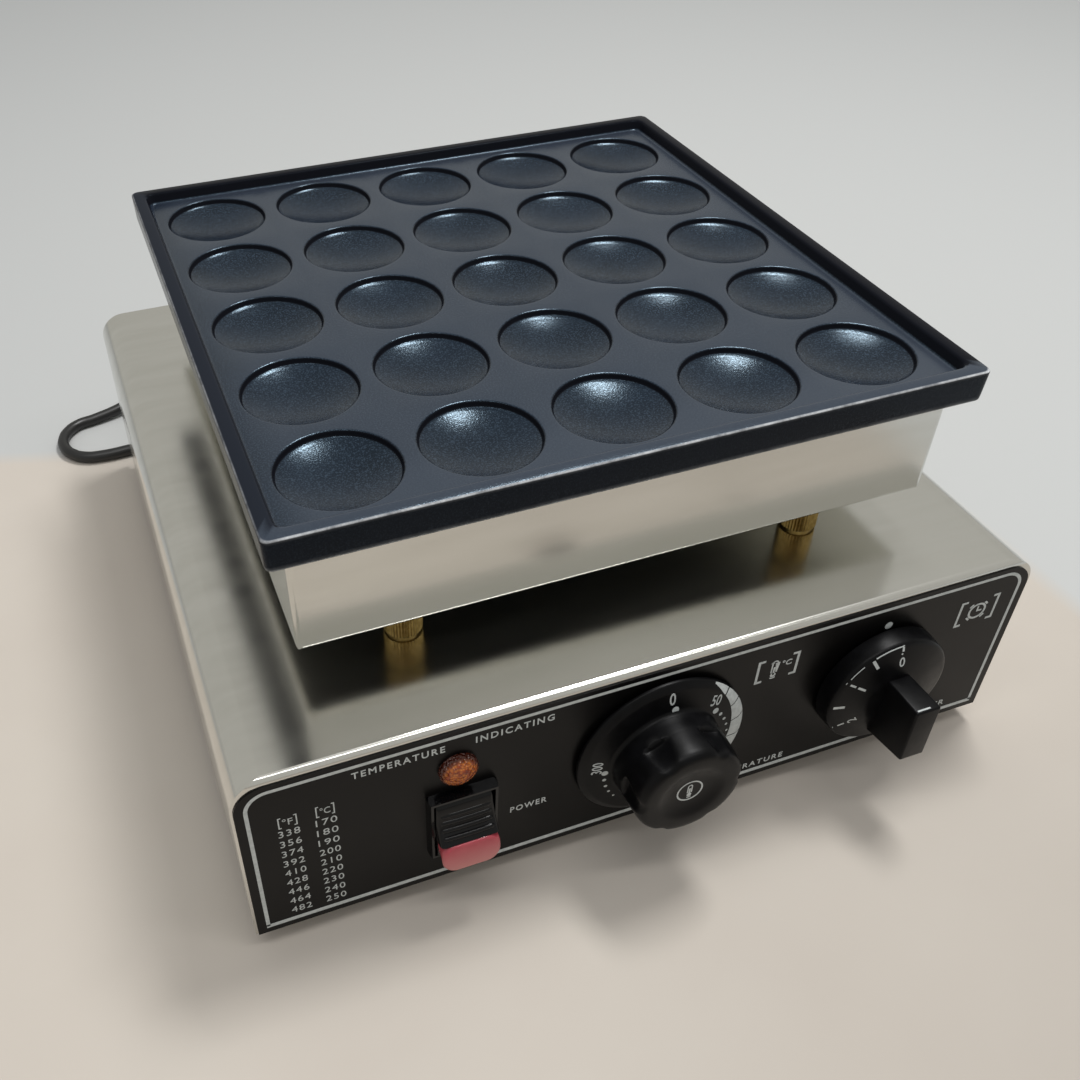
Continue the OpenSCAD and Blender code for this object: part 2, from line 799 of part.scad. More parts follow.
// Places of the screws through the bottom plate: along both sides and along the front
module bottom_screw_places() {
    side = base_w / 2 - base_sheet - flange_w / 2;
    depth = base_d / 2 - base_sheet - flange_w / 2;
    for (x = [-side, side], y = [-depth, 0, depth - flange_w])
        translate([x, mid_y + y, bottom_seat_z]) children();
    translate([0, mid_y - depth, bottom_seat_z]) children();
}

// Places of the screws through the back panel: two at each side and one at the top
module back_screw_places() {
    side = base_w / 2 - base_sheet - flange_w / 2;
    for (x = [-side, side], z = [0.3, 0.7]) translate([x, back_seat_y, base_z + z * base_h]) children();
    translate([0, back_seat_y, top_z - base_sheet - flange_w / 2]) children();
}

// Holes that the controls need in the front wall and in the overlay
module panel_holes(y0, y1, screw_hole) {
    for (x = [thermostat_x, timer_x]) {
        on_front(x, y1, knob_z) cylinder(d = shaft_hole, h = y1 - y0);
        for (s = [-1, 1]) on_front(x + s * body_screw_x, y1, knob_z) cylinder(d = screw_hole, h = y1 - y0);
    }
    on_front(lamp_x, y1, lamp_z) cylinder(d = lamp_stem_d + 2 * fit_gap, h = y1 - y0);
    on_front(switch_x, y1, switch_z) linear_extrude(y1 - y0)
        square([switch_body[0] + 2 * fit_gap, switch_body[2] + 2 * fit_gap], center = true);
}

module base_shell() {
    side = base_w / 2 - base_sheet;
    color(steel) difference() {
        casing_form(0, front_y, back_y);
        intersection() {
            casing_form(base_sheet, wall_y, back_room_y);
            block([-base_w, front_y, floor_z], [base_w, back_y, top_z]);
        }
        intersection() {
            casing_block(base_sheet + flange_w, back_room_y - cut, back_seat_y + cut);
            block([-base_w, front_y, floor_z], [base_w, back_y, top_z]);
        }
        casing_block(base_sheet, back_seat_y, back_y + cut);
        block([-side, wall_y, base_z - cut], [side, back_y + cut, bottom_seat_z]);
        block([-side + flange_w, wall_y + flange_w, base_z - cut],
              [side - flange_w, back_y + cut, floor_z + cut]);
        panel_holes(front_y - cut, wall_y + cut, panel_screw[0] + 2 * fit_gap);
        at_corners(standoff_x, standoff_y) translate([0, 0, top_z - base_sheet - cut])
            cylinder(d = bolt_d + 2 * fit_gap, h = base_sheet + 2 * cut);
        translate([0, mid_y, top_z - base_sheet - cut])
            cylinder(d = conduit_d + 2 * fit_gap, h = base_sheet + 2 * cut);
        bottom_screw_places() translate([0, 0, -cut])
            cylinder(d = cover_screw[0] + 2 * fit_gap, h = base_sheet + 2 * cut);
        back_screw_places() rotate([90, 0, 0]) translate([0, 0, -cut])
            cylinder(d = cover_screw[0] + 2 * fit_gap, h = base_sheet + 2 * cut);
    }
}

module control_overlay() {
    w = base_w - 2 * overlay_side;
    h = base_h - front_bend_r - overlay_top;
    color(black_print) difference() {
        along_y(panel_y, front_y) translate([0, base_z]) arch_profile(w, h, side_bend_r - overlay_side);
        panel_holes(panel_y - cut, front_y + cut, panel_screw[1] + 2 * fit_gap);
    }
}

// Upright ventilation slots in the back panel, in two groups
module back_slots() {
    slot_w = 3;
    slot_h = 0.3 * base_h;
    slot_pitch = base_w / 40;
    slots = 8;
    group_x = base_w / 4;
    for (g = [-1, 0], i = [0 : slots - 1])
        translate([g * group_x + (i - (slots - 1) / 2) * slot_pitch, base_z + base_h * 0.55])
            rounded_square(slot_w, slot_h, slot_w / 2 - 0.1);
}

module back_panel() {
    w = base_w - 2 * (base_sheet + sheet_gap);
    h = base_h - base_sheet - sheet_gap;
    color(steel) difference() {
        along_y(back_seat_y, back_face_y) difference() {
            translate([0, base_z]) arch_profile(w, h, max(side_bend_r - base_sheet, cut));
            back_slots();
            translate([gland_x, gland_z]) circle(d = gland_thread_d + 2 * fit_gap);
        }
        back_screw_places() rotate([-90, 0, 0]) translate([0, 0, -cut])
            cylinder(d = cover_screw[0] + 2 * fit_gap, h = cover_sheet + 2 * cut);
    }
}

module back_screws() {
    color(zinc) back_screw_places() translate([0, cover_sheet, 0]) rotate([90, 0, 0])
        screw(cover_screw, cover_sheet + base_sheet + 4);
}

module bottom_plate() {
    slot = [0.19 * base_w, 3.5];
    slot_pitch = base_w / 27;
    slots = 6;
    group_x = base_w / 6;
    x = base_w / 2 - base_sheet - sheet_gap;
    color(steel) difference() {
        block([-x, wall_y + sheet_gap, base_z], [x, back_seat_y - sheet_gap, bottom_seat_z]);
        for (s = [-1, 1], i = [0 : slots - 1])
            translate([s * group_x, mid_y + (i - (slots - 1) / 2) * slot_pitch, base_z - cut])
                linear_extrude(cover_sheet + 2 * cut) rounded_square(slot[0], slot[1], slot[1] / 2 - 0.1);
        bottom_screw_places() translate([0, 0, -cover_sheet - cut])
            cylinder(d = cover_screw[0] + 2 * fit_gap, h = cover_sheet + 2 * cut);
        foot_places() translate([0, 0, base_z - cut])
            cylinder(d = foot_screw[0] + 2 * fit_gap, h = cover_sheet + 2 * cut);
        translate([earth_at[0], mid_y + earth_at[1], base_z - cut])
            cylinder(d = earth_d + 2 * fit_gap, h = cover_sheet + 2 * cut);
    }
}

module bottom_screws() {
    color(zinc) bottom_screw_places() translate([0, 0, -cover_sheet])
        screw(cover_screw, cover_sheet + base_sheet + 4);
}

module foot_places() {
    at_corners(base_w / 2 - foot_inset, base_d / 2 - foot_inset) children();
}

// Moulded foot: a cone with a rounded edge and a pocket for its screw
module rubber_feet() {
    top_d = foot_d + 3;
    pocket_d = foot_screw[1] + 2;
    pocket_h = foot_h * 0.55;
    color(rubber) foot_places() rotate_extrude() polygon([
        [pocket_d / 2, 0], [foot_d / 2 - 1, 0], [foot_d / 2, 1], [top_d / 2, foot_h - 2],
        [top_d / 2, foot_h], [foot_screw[0] / 2 + fit_gap, foot_h], [foot_screw[0] / 2 + fit_gap, pocket_h],
        [pocket_d / 2, pocket_h]
    ]);
}

module foot_screws() {
    pocket_h = foot_h * 0.55;
    color(zinc) foot_places() translate([0, 0, pocket_h])
        screw(foot_screw, foot_h - pocket_h + cover_sheet + 5);
}

module foot_nuts() {
    color(zinc) foot_places() translate([0, 0, bottom_seat_z]) hex_nut(7, 3.2, foot_screw[0] + 2 * run_gap);
}

// Switch: local frame of the front, with the panel face at height 0

module on_switch() {
    on_front(switch_x, panel_y, switch_z) children();
}

module switch_housing() {
    w = switch_body[0];
    h = switch_body[2];
    mouth_w = bezel_w - 2 * (bezel_lip + bezel_slope);
    mouth_h = bezel_h - 2 * (bezel_lip + bezel_slope);
    well_w = w - 2 * switch_wall;
    color(black_plastic) on_switch() difference() {
        union() {
            intersection() {
                rotate([90, 0, 0]) linear_extrude(bezel_h, center = true)
                    trapezium(bezel_w, bezel_w - 2 * bezel_slope, bezel_t);
                rotate([90, 0, 90]) linear_extrude(bezel_w, center = true)
                    trapezium(bezel_h, bezel_h - 2 * bezel_slope, bezel_t);
                linear_extrude(bezel_t) rounded_square(bezel_w, bezel_h, 1.5);
            }
            translate([-w / 2, -h / 2, -switch_body[1]]) cube([w, h, switch_body[1]]);
        }
        linear_extrude(bezel_t + cut) rounded_square(mouth_w, mouth_h, 0.5);
        translate([-well_w / 2, -well_h / 2, -well_depth]) cube([well_w, well_h, well_depth + cut]);
        translate([0, 0, -pivot_depth]) rotate([0, 90, 0])
            cylinder(d = pivot_d + 2 * run_gap, h = w + 2 * cut, center = true);
    }
}

module switch_terminals() {
    color(brass) on_switch() for (i = [-1, 1], j = [-1, 1])
        translate([i * blade_x - blade[2] / 2, j * blade_z - blade[0] / 2, -switch_body[1] - blade[1]])
            cube([blade[2], blade[0], blade[1]]);
}

// Rocker in its own level frame turned about its pivot, lower end out
module on_rocker() {
    on_switch() translate([0, 0, -pivot_depth]) rotate([-rocker_tilt, 0, 0])
        translate([0, 0, pivot_depth]) children();
}

// Height of the black face over a place along the rocker: it scoops down from the lens to the upper end
function scoop_height(y, face) = let (rest = 1 - (y - lens_top) / (scoop_end - lens_top))
    face - scoop_fall * (1 - rest * rest);

// Cap of the rocker, held level: its lower end has a nose over the bezel, its upper end falls away
module rocker_cap(face) {
    low = face - scoop_fall;
    fall = low - cap_base;
    rotate([90, 0, 90]) linear_extrude(cap_w, center = true) polygon(concat(
        [[-cap_end, cap_base], [-cap_end - 0.2, face - 2.6], [-cap_nose, face - 1.2],
         [-cap_nose + 0.1, face - 0.6], [-cap_nose + 0.5, face - 0.15], [-cap_nose + 1.2, face]],
        [for (k = [0 : 8]) let (y = lens_top + k / 8 * (scoop_end - lens_top)) [y, scoop_height(y, face)]],
        [[cap_end * 0.8, low - fall * 0.12], [cap_end * 0.92, low - fall * 0.35],
         [cap_end - 0.2, low - fall * 0.7], [cap_end, cap_base]]
    ));
}

// Space of the lens at the rocker's lower end
module lens_space() {
    translate([-cap_w, -2 * cap_nose, lens_seat]) cube([2 * cap_w, 2 * cap_nose + lens_top, 2 * cap_face]);
}

module rocker_button() {
    core_w = switch_body[0] - 2 * switch_wall - 2 * rocker_gap;
    color(black_plastic) on_rocker() {
        difference() {
            rocker_cap(cap_face - lens_rise);
            lens_space();
        }
        for (i = [0 : rib_count - 1])
            let (y = rib_first + i * rib_step)
                translate([0, y, scoop_height(y, cap_face - lens_rise) + rib_stand - rib_r])
                    rotate([0, 90, 0]) cylinder(r = rib_r, h = cap_w - 3, center = true);
        translate([-core_w / 2, -core_h / 2, -pivot_depth - core_depth])
            cube([core_w, core_h, pivot_depth + core_depth + lens_seat]);
        translate([0, 0, -pivot_depth]) rotate([0, 90, 0])
            cylinder(d = pivot_d, h = switch_body[0] - 1, center = true);
    }
}

module rocker_lens() {
    side_r = 2.6;
    corner_r = 4;
    color(red_lens) on_rocker() intersection() {
        rocker_cap(cap_face);
        lens_space();
        linear_extrude(2 * cap_face) rounded_square(cap_w, 2 * cap_nose, corner_r);
        rotate([90, 0, 0]) linear_extrude(4 * cap_nose, center = true) arch_profile(cap_w, cap_face, side_r);
    }
}

// Lamp: a domed lens in front, its sleeve and nut behind the wall

module lamp_lens() {
    rim_t = 1.6;
    edge = lamp_d / 2;
    dome = lamp_h - rim_t;
    dome_r = (edge * edge + dome * dome) / (2 * dome);
    color(amber_lens) on_front(lamp_x, panel_y, lamp_z) rotate_extrude() {
        square([edge, rim_t]);
        intersection() {
            translate([0, lamp_h - dome_r]) circle(dome_r, $fn = 128);
            translate([0, rim_t]) square([edge, dome]);
        }
        translate([0, -overlay_t - base_sheet]) square([lamp_stem_d / 2, overlay_t + base_sheet + rim_t]);
    }
}

module lamp_body() {
    pin_gap = 3;
    color(pale_plastic) on_front(lamp_x, wall_y, lamp_z) {
        translate([0, 0, -lamp_body_len]) cylinder(d = lamp_stem_d, h = lamp_body_len);
        for (s = [-1, 1]) translate([s * pin_gap, 0, -lamp_body_len - 8]) cylinder(d = 1.6, h = 9);
    }
}

module lamp_nut() {
    color(pale_plastic) on_front(lamp_x, wall_y + lamp_nut_h, lamp_z)
        hex_nut(lamp_nut_d, lamp_nut_h, lamp_stem_d + 2 * run_gap);
}

// Thermostat and timer

// Control body behind the front wall with a bush, a bore for its shaft and two screw holes
module control_body(x, size) {
    color(pale_plastic) on_front(x, wall_y, knob_z) difference() {
        translate([-size[0] / 2, -size[2] / 2, -size[1]]) cube([size[0], size[2], size[1]]);
        translate([0, 0, -shaft_depth - run_gap])
            cylinder(d = shaft_d + 2 * run_gap, h = shaft_depth + 2 * cut);
        for (s = [-1, 1]) translate([s * body_screw_x, 0, -8])
            cylinder(d = panel_screw[0] + 2 * fit_gap, h = 8 + cut);
        for (i = [-1, 1]) translate([i * size[0] / 2, 0, -size[1] / 2])
            cube([3, size[2] * 0.6, size[1] * 0.5], center = true);
    }
}

// Screws through the front wall into a control body
module control_screws(x) {
    color(zinc) for (s = [-1, 1]) on_front(x + s * body_screw_x, front_y, knob_z) rotate([180, 0, 0])
        screw(panel_screw, base_sheet + 6);
}

// Round shaft with a flat along its outer end
module control_shaft(x, reach) {
    inner = -base_sheet - overlay_t - shaft_depth;
    color(zinc) on_front(x, panel_y, knob_z) difference() {
        translate([0, 0, inner]) cylinder(d = shaft_d, h = reach - inner);
        translate([-shaft_d, shaft_d / 2 - shaft_flat, reach - shaft_in_knob + 2])
            cube([2 * shaft_d, shaft_d, shaft_in_knob]);
    }
}

// Socket in a knob for the flatted shaft
module shaft_socket(reach) {
    difference() {
        translate([0, 0, -cut]) cylinder(d = shaft_d + 2 * run_gap, h = reach + run_gap + cut);
        translate([-shaft_d, shaft_d / 2 - shaft_flat + run_gap, reach - shaft_in_knob + 2 + run_gap])
            cube([2 * shaft_d, shaft_d, shaft_in_knob]);
    }
}

module thermostat_body() {
    control_body(thermostat_x, thermostat_size);
}

module thermostat_screws() {
    control_screws(thermostat_x);
}

// Height of the shaft's end inside each knob
thermostat_shaft_reach = knob_reach - 7;
timer_shaft_reach = timer_skirt_h + 9;

module thermostat_shaft() {
    control_shaft(thermostat_x, thermostat_shaft_reach);
}

// Dial knob: printed skirt with a bevelled edge, a plain collar and a grip with flutes that run out to its
// front, where its end is dished
flute_lean = 8;
dish_face_r = 12.5;
dish_face_depth = 1.8;
cap_disc_r = 5.4;
cap_disc_t = 0.8;

module thermostat_knob() {
    skirt_r = skirt_d / 2;
    grip_r = grip_d / 2;
    skirt_edge = 2.6;
    bevel_w = 2.8;
    bevel_h = 1.6;
    skirt_face = 5.5;
    hollow_r = skirt_r - 3;
    hollow_h = 3.4;
    hub_r = 8;
    round_r = 2.6;
    seat = knob_reach - dish_face_depth;
    color(black_plastic) on_front(thermostat_x, panel_y, knob_z) difference() {
        rotate_extrude() polygon(concat(
            [[0, skirt_air], [hub_r, skirt_air], [hub_r, hollow_h], [hollow_r, hollow_h],
             [hollow_r, skirt_air], [skirt_r, skirt_air], [skirt_r, skirt_edge],
             [skirt_r - bevel_w, skirt_edge + bevel_h],
             [grip_r + 1, skirt_face], [grip_r, skirt_face + 1]],
            [for (a = [0 : 15 : 90]) [
                grip_r - round_r + round_r * cos(a) - 0.5, knob_reach - round_r + round_r * sin(a)]],
            [[dish_face_r, knob_reach], [dish_face_r - 2.5, seat + 0.5], [cap_disc_r + 0.1, seat],
             [cap_disc_r + 0.1, seat - cap_disc_t], [0, seat - cap_disc_t]]
        ));
        for (i = [0 : flute_count - 1]) rotate([0, 0, 360 * i / flute_count])
            translate([grip_r + flute_r - flute_depth, 0, knob_reach - flute_len])
                rotate([0, flute_lean, 0]) cylinder(r = flute_r, h = flute_len + flute_r);
        shaft_socket(thermostat_shaft_reach);
    }
}

// Pictogram disc let into the grip's dished end
module thermostat_cap() {
    seat = knob_reach - dish_face_depth;
    color(black_plastic) on_front(thermostat_x, panel_y, knob_z)
        translate([0, 0, seat - cap_disc_t]) cylinder(r = cap_disc_r, h = cap_disc_t);
}

module timer_body() {
    control_body(timer_x, timer_size);
}

module timer_screws() {
    control_screws(timer_x);
}

module timer_shaft() {
    control_shaft(timer_x, timer_shaft_reach);
}

// Timer knob: deep skirt with a low cone for its face and a bar grip that tapers to the front
module timer_knob() {
    skirt_r = timer_skirt_d / 2;
    face_r = skirt_r - 0.4;
    bevel = 0.8;
    wall = 2.4;
    hub_r = 8;
    cone_r = 12;
    cone_h = 3;
    bar_foot_w = bar_w - 1;
    bar_foot_up = bar_up - 0.8;
    bar_front_down = bar_down - 4.5;
    color(black_plastic) on_front(timer_x, panel_y, knob_z) difference() {
        union() {
            rotate_extrude() polygon([
                [0, skirt_air], [hub_r, skirt_air], [hub_r, timer_skirt_h - wall],
                [skirt_r - wall - 1, timer_skirt_h - wall], [skirt_r - wall, skirt_air], [skirt_r, skirt_air],
                [face_r, timer_skirt_h - bevel], [face_r - bevel, timer_skirt_h],
                [cone_r, timer_skirt_h + cone_h], [0, timer_skirt_h + cone_h]
            ]);
            intersection() {
                rotate([90, 0, 90]) linear_extrude(bar_w, center = true) polygon([
                    [-bar_down, timer_skirt_h - wall + 0.5], [bar_foot_up, timer_skirt_h - wall + 0.5],
                    [bar_up - 0.4, timer_reach - 1], [bar_up - 1.4, timer_reach],
                    [-bar_front_down + 2, timer_reach], [-bar_front_down, timer_reach - 2]
                ]);
                rotate([90, 0, 0]) linear_extrude(4 * bar_down, center = true) polygon([
                    [-bar_foot_w / 2, 0], [bar_foot_w / 2, 0], [bar_w / 2, timer_reach - 1],
                    [bar_w / 2 - 1, timer_reach], [-bar_w / 2 + 1, timer_reach], [-bar_w / 2, timer_reach - 1]
                ]);
                linear_extrude(timer_reach) union() {
                    translate([-bar_w / 2, -bar_down + 3]) square([bar_w, bar_down + bar_up - 3]);
                    intersection() {
                        circle(bar_down);
                        translate([-bar_w / 2, -bar_down]) square([bar_w, bar_down]);
                    }
                }
            }
        }
        shaft_socket(timer_shaft_reach);
    }
}

// Wiring

// Ends of the wires on the pieces that they join
function block_top(i) =
    [block_at[0] + (i - 1) * block_pole_x, mid_y + block_at[1], bottom_seat_z + block_size[2]];
conduit_low = [0, mid_y, top_z - base_sheet - conduit_end];
conduit_high = [0, mid_y, box_z + box_sheet + conduit_end];

module terminal_block() {
    foot_hole = 4.5;
    low = [block_at[0] - block_size[0] / 2, mid_y + block_at[1] - block_size[1] / 2, bottom_seat_z];
    color(ceramic) difference() {
        block(low, low + block_size);
        for (i = [0 : block_poles - 1], s = [-1, 1])
            translate(block_top(i) + [0, s * block_hole_y, -block_hole_depth])
                cylinder(d = block_hole_d, h = block_hole_depth + cut);
        for (s = [-0.5, 0.5])
            translate([block_at[0] + s * block_pole_x, mid_y + block_at[1], bottom_seat_z - cut])
                cylinder(d = foot_hole, h = block_size[2] + 2 * cut);
    }
}

// Two insulated leads from the element's pins down the conduit to the terminal block
module heater_wires() {
    rise = 12;
    drop = 14;
    color("#d8d0b8") for (s = [-1, 1]) {
        start = [s * outer_run_x, mid_y + outer_run_end + bead_h + pin_len + touch_gap, element_z];
        top = conduit_high + [s * conduit_wire_x, conduit_wire_y, 0];
        low = conduit_low + [s * conduit_wire_x, conduit_wire_y, 0];
        finish = block_top(s < 0 ? 0 : 1) + [0, -block_hole_y, touch_gap];
        tube(concat(
            curve(start, start + wire_bend * [0, 0.5, -0.33], top + wire_bend * [2 * s, 3, 0.55],
                  top + [0, 0, rise], 14),
            [for (i = [0 : 4]) top + (low - top) * i / 4],
            curve(low - [0, 0, 2], low - [0, 0, drop], finish + wire_bend * [0, -0.33, 1.3], finish, 12)
        ), wire_d, wire_sides, true, [0, 1, -0.05], [0, 0.1, -1]);
    }
}

// Leads from the cable entry to the terminal block and the earth stud
module mains_wires() {
    entry = [gland_x, gland_inner_y - touch_gap, gland_z];
    spread = 3.4;
    color("#6d4a2f") {
        for (i = [0, 1]) {
            start = entry + [(0.5 - i) * spread, 0, 0];
            finish = block_top(i + 1) + [0, block_hole_y, touch_gap];
            tube(curve(start, start - wire_bend * [0, 0.9, -0.25 * i],
                       finish + wire_bend * [0, 0.2 + 0.1 * i, 0.9 + 0.2 * i], finish, 12),
                 wire_d, wire_sides, false, [0, -1, 0], [0, -0.2, -1]);
        }
        start = entry + [0, 0, -spread];
        finish = [earth_at[0] + earth_d / 2 + touch_gap, mid_y + earth_at[1], bottom_seat_z + earth_h / 2];
        tube(curve(start, start - wire_bend * [0, 1, 0], finish + wire_bend * [2.3, 0.33, 0], finish, 14),
             wire_d, wire_sides, false, [0, -1, 0], [-1, 0, 0]);
    }
}

// Leads between the switch, timer, thermostat and terminal block
module control_wires() {
    switch_back = [switch_x + blade_x, panel_y + switch_body[1] + blade[1] + touch_gap, switch_z + blade_z];
    thermostat_back = [thermostat_x, wall_y + thermostat_size[1] + touch_gap, knob_z - contact_z];
    timer_back = [timer_x, wall_y + timer_size[1] + touch_gap, knob_z - contact_z];
    across = [contact_x, 0, 0];
    bend = [0, wire_bend, 0];
    color("#3c4a63") {
        tube(curve(switch_back, switch_back + bend, thermostat_back - across + 1.3 * bend,
                   thermostat_back - across, 14), wire_d, wire_sides);
        tube(curve(thermostat_back + across, thermostat_back + across + 1.3 * bend,
                   timer_back - across + bend, timer_back - across, 14), wire_d, wire_sides);
        start = timer_back + across + [0, 0, 2 * contact_z];
        finish = block_top(2) + [0, -block_hole_y, touch_gap];
        tube(curve(start, start + 2 * bend, finish + wire_bend * [0, -0.33, 1.5], finish, 14),
             wire_d, wire_sides, false, [0, 1, 0], [0, 0.2, -1]);
    }
}

// Thin copper tube from the thermostat up the conduit to the sensing bulb
module capillary_tube() {
    start = [thermostat_x, wall_y + thermostat_size[1] + touch_gap, knob_z + 10];
    low = conduit_low + [0, capillary_y, 0];
    top = conduit_high + [0, capillary_y, 0];
    finish = [0, mid_y + bulb_ends[0] - touch_gap, bulb_z];
    color(copper) tube(concat(
        curve(start, start + wire_bend * [0, 1.7, 0.1], low - wire_bend * [0, 0.33, 0.53],
              low - [0, 0, 4], 14),
        [for (i = [0 : 4]) low + (top - low) * i / 4],
        curve(top + [0, 0, 3], top + wire_bend * [0, -0.2, 0.47], finish - wire_bend * [0, 1.13, 0.27],
              finish, 14)
    ), capillary_d, wire_sides, true, undef, [0, 1, 0.1]);
}

module earth_stud() {
    color(brass) translate([earth_at[0], mid_y + earth_at[1], 0]) {
        translate([0, 0, base_z]) cylinder(d = earth_d, h = cover_sheet + earth_h);
        translate([0, 0, bottom_seat_z]) cylinder(d = 8 / cos(30), h = 4, $fn = 6);
    }
}

// Cable entry, lead and plug

// Grooved rubber strain relief that tapers towards its tip
module strain_relief() {
    grooves = 5;
    groove_w = 2;
    groove_pitch = (relief_len - 6) / grooves;
    color(rubber) translate([gland_x, back_face_y, gland_z]) rotate([-90, 0, 0]) difference() {
        rotate_extrude() polygon([
            [0, gland_inner_y - back_face_y], [gland_thread_d / 2, gland_inner_y - back_face_y],
            [gland_thread_d / 2, 0], [relief_flange_d / 2, 0], [relief_flange_d / 2, relief_flange_t],
            [relief_base_d / 2, relief_flange_t], [relief_tip_d / 2, relief_flange_t + relief_len],
            [0, relief_flange_t + relief_len]
        ]);
        for (i = [0 : grooves - 1]) let (z = relief_flange_t + 4 + i * groove_pitch)
            rotate([0, 0, 90 * (i % 2)]) for (s = [-1, 1])
                translate([s * relief_base_d / 2, 0, z + groove_w / 2])
                    cube([5, relief_base_d, groove_w], center = true);
    }
}

module gland_nut() {
    color(black_plastic) translate([gland_x, back_seat_y, gland_z]) rotate([90, 0, 0])
        hex_nut(gland_nut_d, gland_nut_h, gland_thread_d + 2 * run_gap);
}

// Left end of the runs of a turn
function far_end(t) = t < floor(hank_loops) ? hank_run / 2 - fold_inset : hank_run / 2 + long_reach;

// How far a place along the long loop has narrowed, from 0 to 1
function narrowed(t, x) = t < floor(hank_loops) ? 0 :
    smooth(-(x + taper_from) / (hank_run / 2 + long_reach - taper_from));
function smooth(share) = let (s = min(1, max(0, share))) 3 * s * s - 2 * s * s * s;

// Place along a turn of the hank and bearing across it: back run, left fold, front run, right fold
function along_turn(t) = let (u = t - floor(t), far = far_end(t))
    u < run_share ? [hank_run / 2 - u / run_share * (hank_run / 2 + far), 90] :
    u < 0.5 ? [-far, 90 + 180 * (u - run_share) / (0.5 - run_share)] :
    u < 0.5 + run_share ? [-far + (u - 0.5) / run_share * (hank_run / 2 + far), 270] :
    [hank_run / 2, 270 + 180 * (u - 0.5 - run_share) / (0.5 - run_share)];

// Share of the waist's pull at a place along the runs: none at the folds, full in the middle
function waist_share(x) = let (s = min(1, abs(2 * x / hank_run))) (1 - s * s) * (1 - s * s);

// Height of the cord at a turn: it climbs one layer along the run where the spiral turns back
function hank_height(t) = hank_layer * smooth((t - hank_turn_at + run_share / 2) / run_share);

function hank_point(t) = let (
        p = along_turn(t),
        nip = narrowed(t, p[0]),
        sunk = t < floor(hank_loops) + run_share ? nip : 1,
        wide = hank_inner + hank_step * abs(t - hank_turn_at),
        w = wide + nip * (long_nip - wide),
        x = p[0] + w * cos(p[1]),
        share = waist_share(x)
    ) [
        hank_at[0] + x,
        hank_at[1] + w * sin(p[1]) * (1 - hank_waist * share) - long_sway * nip,
        cord_z + hank_height(t) * (1 - sunk) + tie_lift * share
    ];

// Turn numbers of the rings: a few along each run, more round each fold
turn_marks = [
    for (i = [0 : run_rings - 1]) run_share * i / run_rings,
    for (i = [0 : fold_rings - 1]) run_share + (0.5 - run_share) * i / fold_rings
];
hank_turns = [
    for (k = [0 : 2 * floor(hank_loops) + 1], m = turn_marks)
        if (k / 2 + m < hank_loops - 0.001) k / 2 + m,
    hank_loops
];
hank_route = [for (t = hank_turns) hank_point(t)];
hank_in = hank_route[0] + [cord_d, 0, 0];
hank_out = hank_route[len(hank_route) - 1] + [cord_d, 0, 0];

// Least gap between stretches of the hank that aren't neighbours, on points along its own edges
hank_dense = [for (i = [0 : len(hank_route) - 2], s = [0 : 0.2 : 0.8])
    hank_route[i] + s * (hank_route[i + 1] - hank_route[i])];
hank_least = min([for (i = [0 : len(hank_dense) - 1], j = [i + 25 : len(hank_dense) - 1])
    if (j < len(hank_dense)) norm(hank_dense[i] - hank_dense[j])]) - cord_d;
function route_length(p) = len(p) < 2 ? 0 : [for (i = [0 : len(p) - 2]) norm(p[i + 1] - p[i])] *
    [for (i = [0 : len(p) - 2]) 1];
// Route by shares of the way between two ends
function between(a, b, steps) = concat([a], [for (k = steps) [
    a[0] + k[0] * (b[0] - a[0]), a[1] + k[1] * (b[1] - a[1]), a[2] + k[2] * (b[2] - a[2])]], [b]);
lead_path = between([gland_x, relief_tip_y, gland_z], hank_in, lead_steps);
tail_path = between(hank_out, [plug_at[0], plug_at[1], plug_axis_z], tail_steps);
echo(hank_least_gap = hank_least);
echo(cord_length = route_length(lead_path) + route_length(hank_route) + 2 * cord_d + route_length(tail_path));

module cord_lead() {
    color(rubber) tube(lead_path, cord_d, 10, false, [0, 1, 0], [-1, 0, 0]);
}

module cord_hank() {
    color(rubber) tube(concat([hank_in], hank_route, [hank_out]), cord_d, 6, false, [-1, 0, 0], [1, 0, 0]);
}

module cord_tail() {
    color(rubber) tube(tail_path, cord_d, 10, false, [1, 0, 0], [1, 0, 0]);
}

// Band round the waist of the hank
module cord_tie() {
    half_y = hank_widest * (1 - hank_waist) + cord_d / 2 + tie_gap;
    top = cord_z + hank_layer + tie_lift + cord_d / 2 + tie_gap;
    r = cord_d / 2;
    color(rubber) translate([hank_at[0], hank_at[1], 0]) along_x(-tie_w / 2, tie_w / 2) difference() {
        arch_profile(2 * (half_y + tie_t), top + tie_t, r + tie_t);
        translate([0, tie_t]) arch_profile(2 * half_y, top - tie_t, r);
    }
}

// Moulded plug with a ribbed grip and a tapering neck, lying on its side
module plug_body() {
    r = plug_d / 2;
    n = plug_neck_len;
    l = n + plug_body_len;
    ribs = 4;
    color(rubber) translate([plug_at[0], plug_at[1], plug_axis_z]) rotate([0, 90, 0]) difference() {
        rotate_extrude() polygon([
            [0, 0], [plug_neck_d / 2 - 1, 0], [plug_neck_d / 2 + 1, n], [r - 3, n + 4], [r, n + 9],
            [r, l - 2], [r - 2, l], [0, l]
        ]);
        for (s = [-1, 1], i = [0 : ribs - 1])
            translate([0, s * (r - 0.4), n + 12 + i * 4]) cube([0.8 * plug_d, 3, 1.8], center = true);
        plug_pin_places() translate([0, 0, l - 2]) cylinder(d = pin_socket_d, h = 2 + cut);
    }
}

plug_pin_d = 4.8;
pin_socket_d = plug_pin_d + 2 * run_gap;
plug_pin_gap = 9.5;

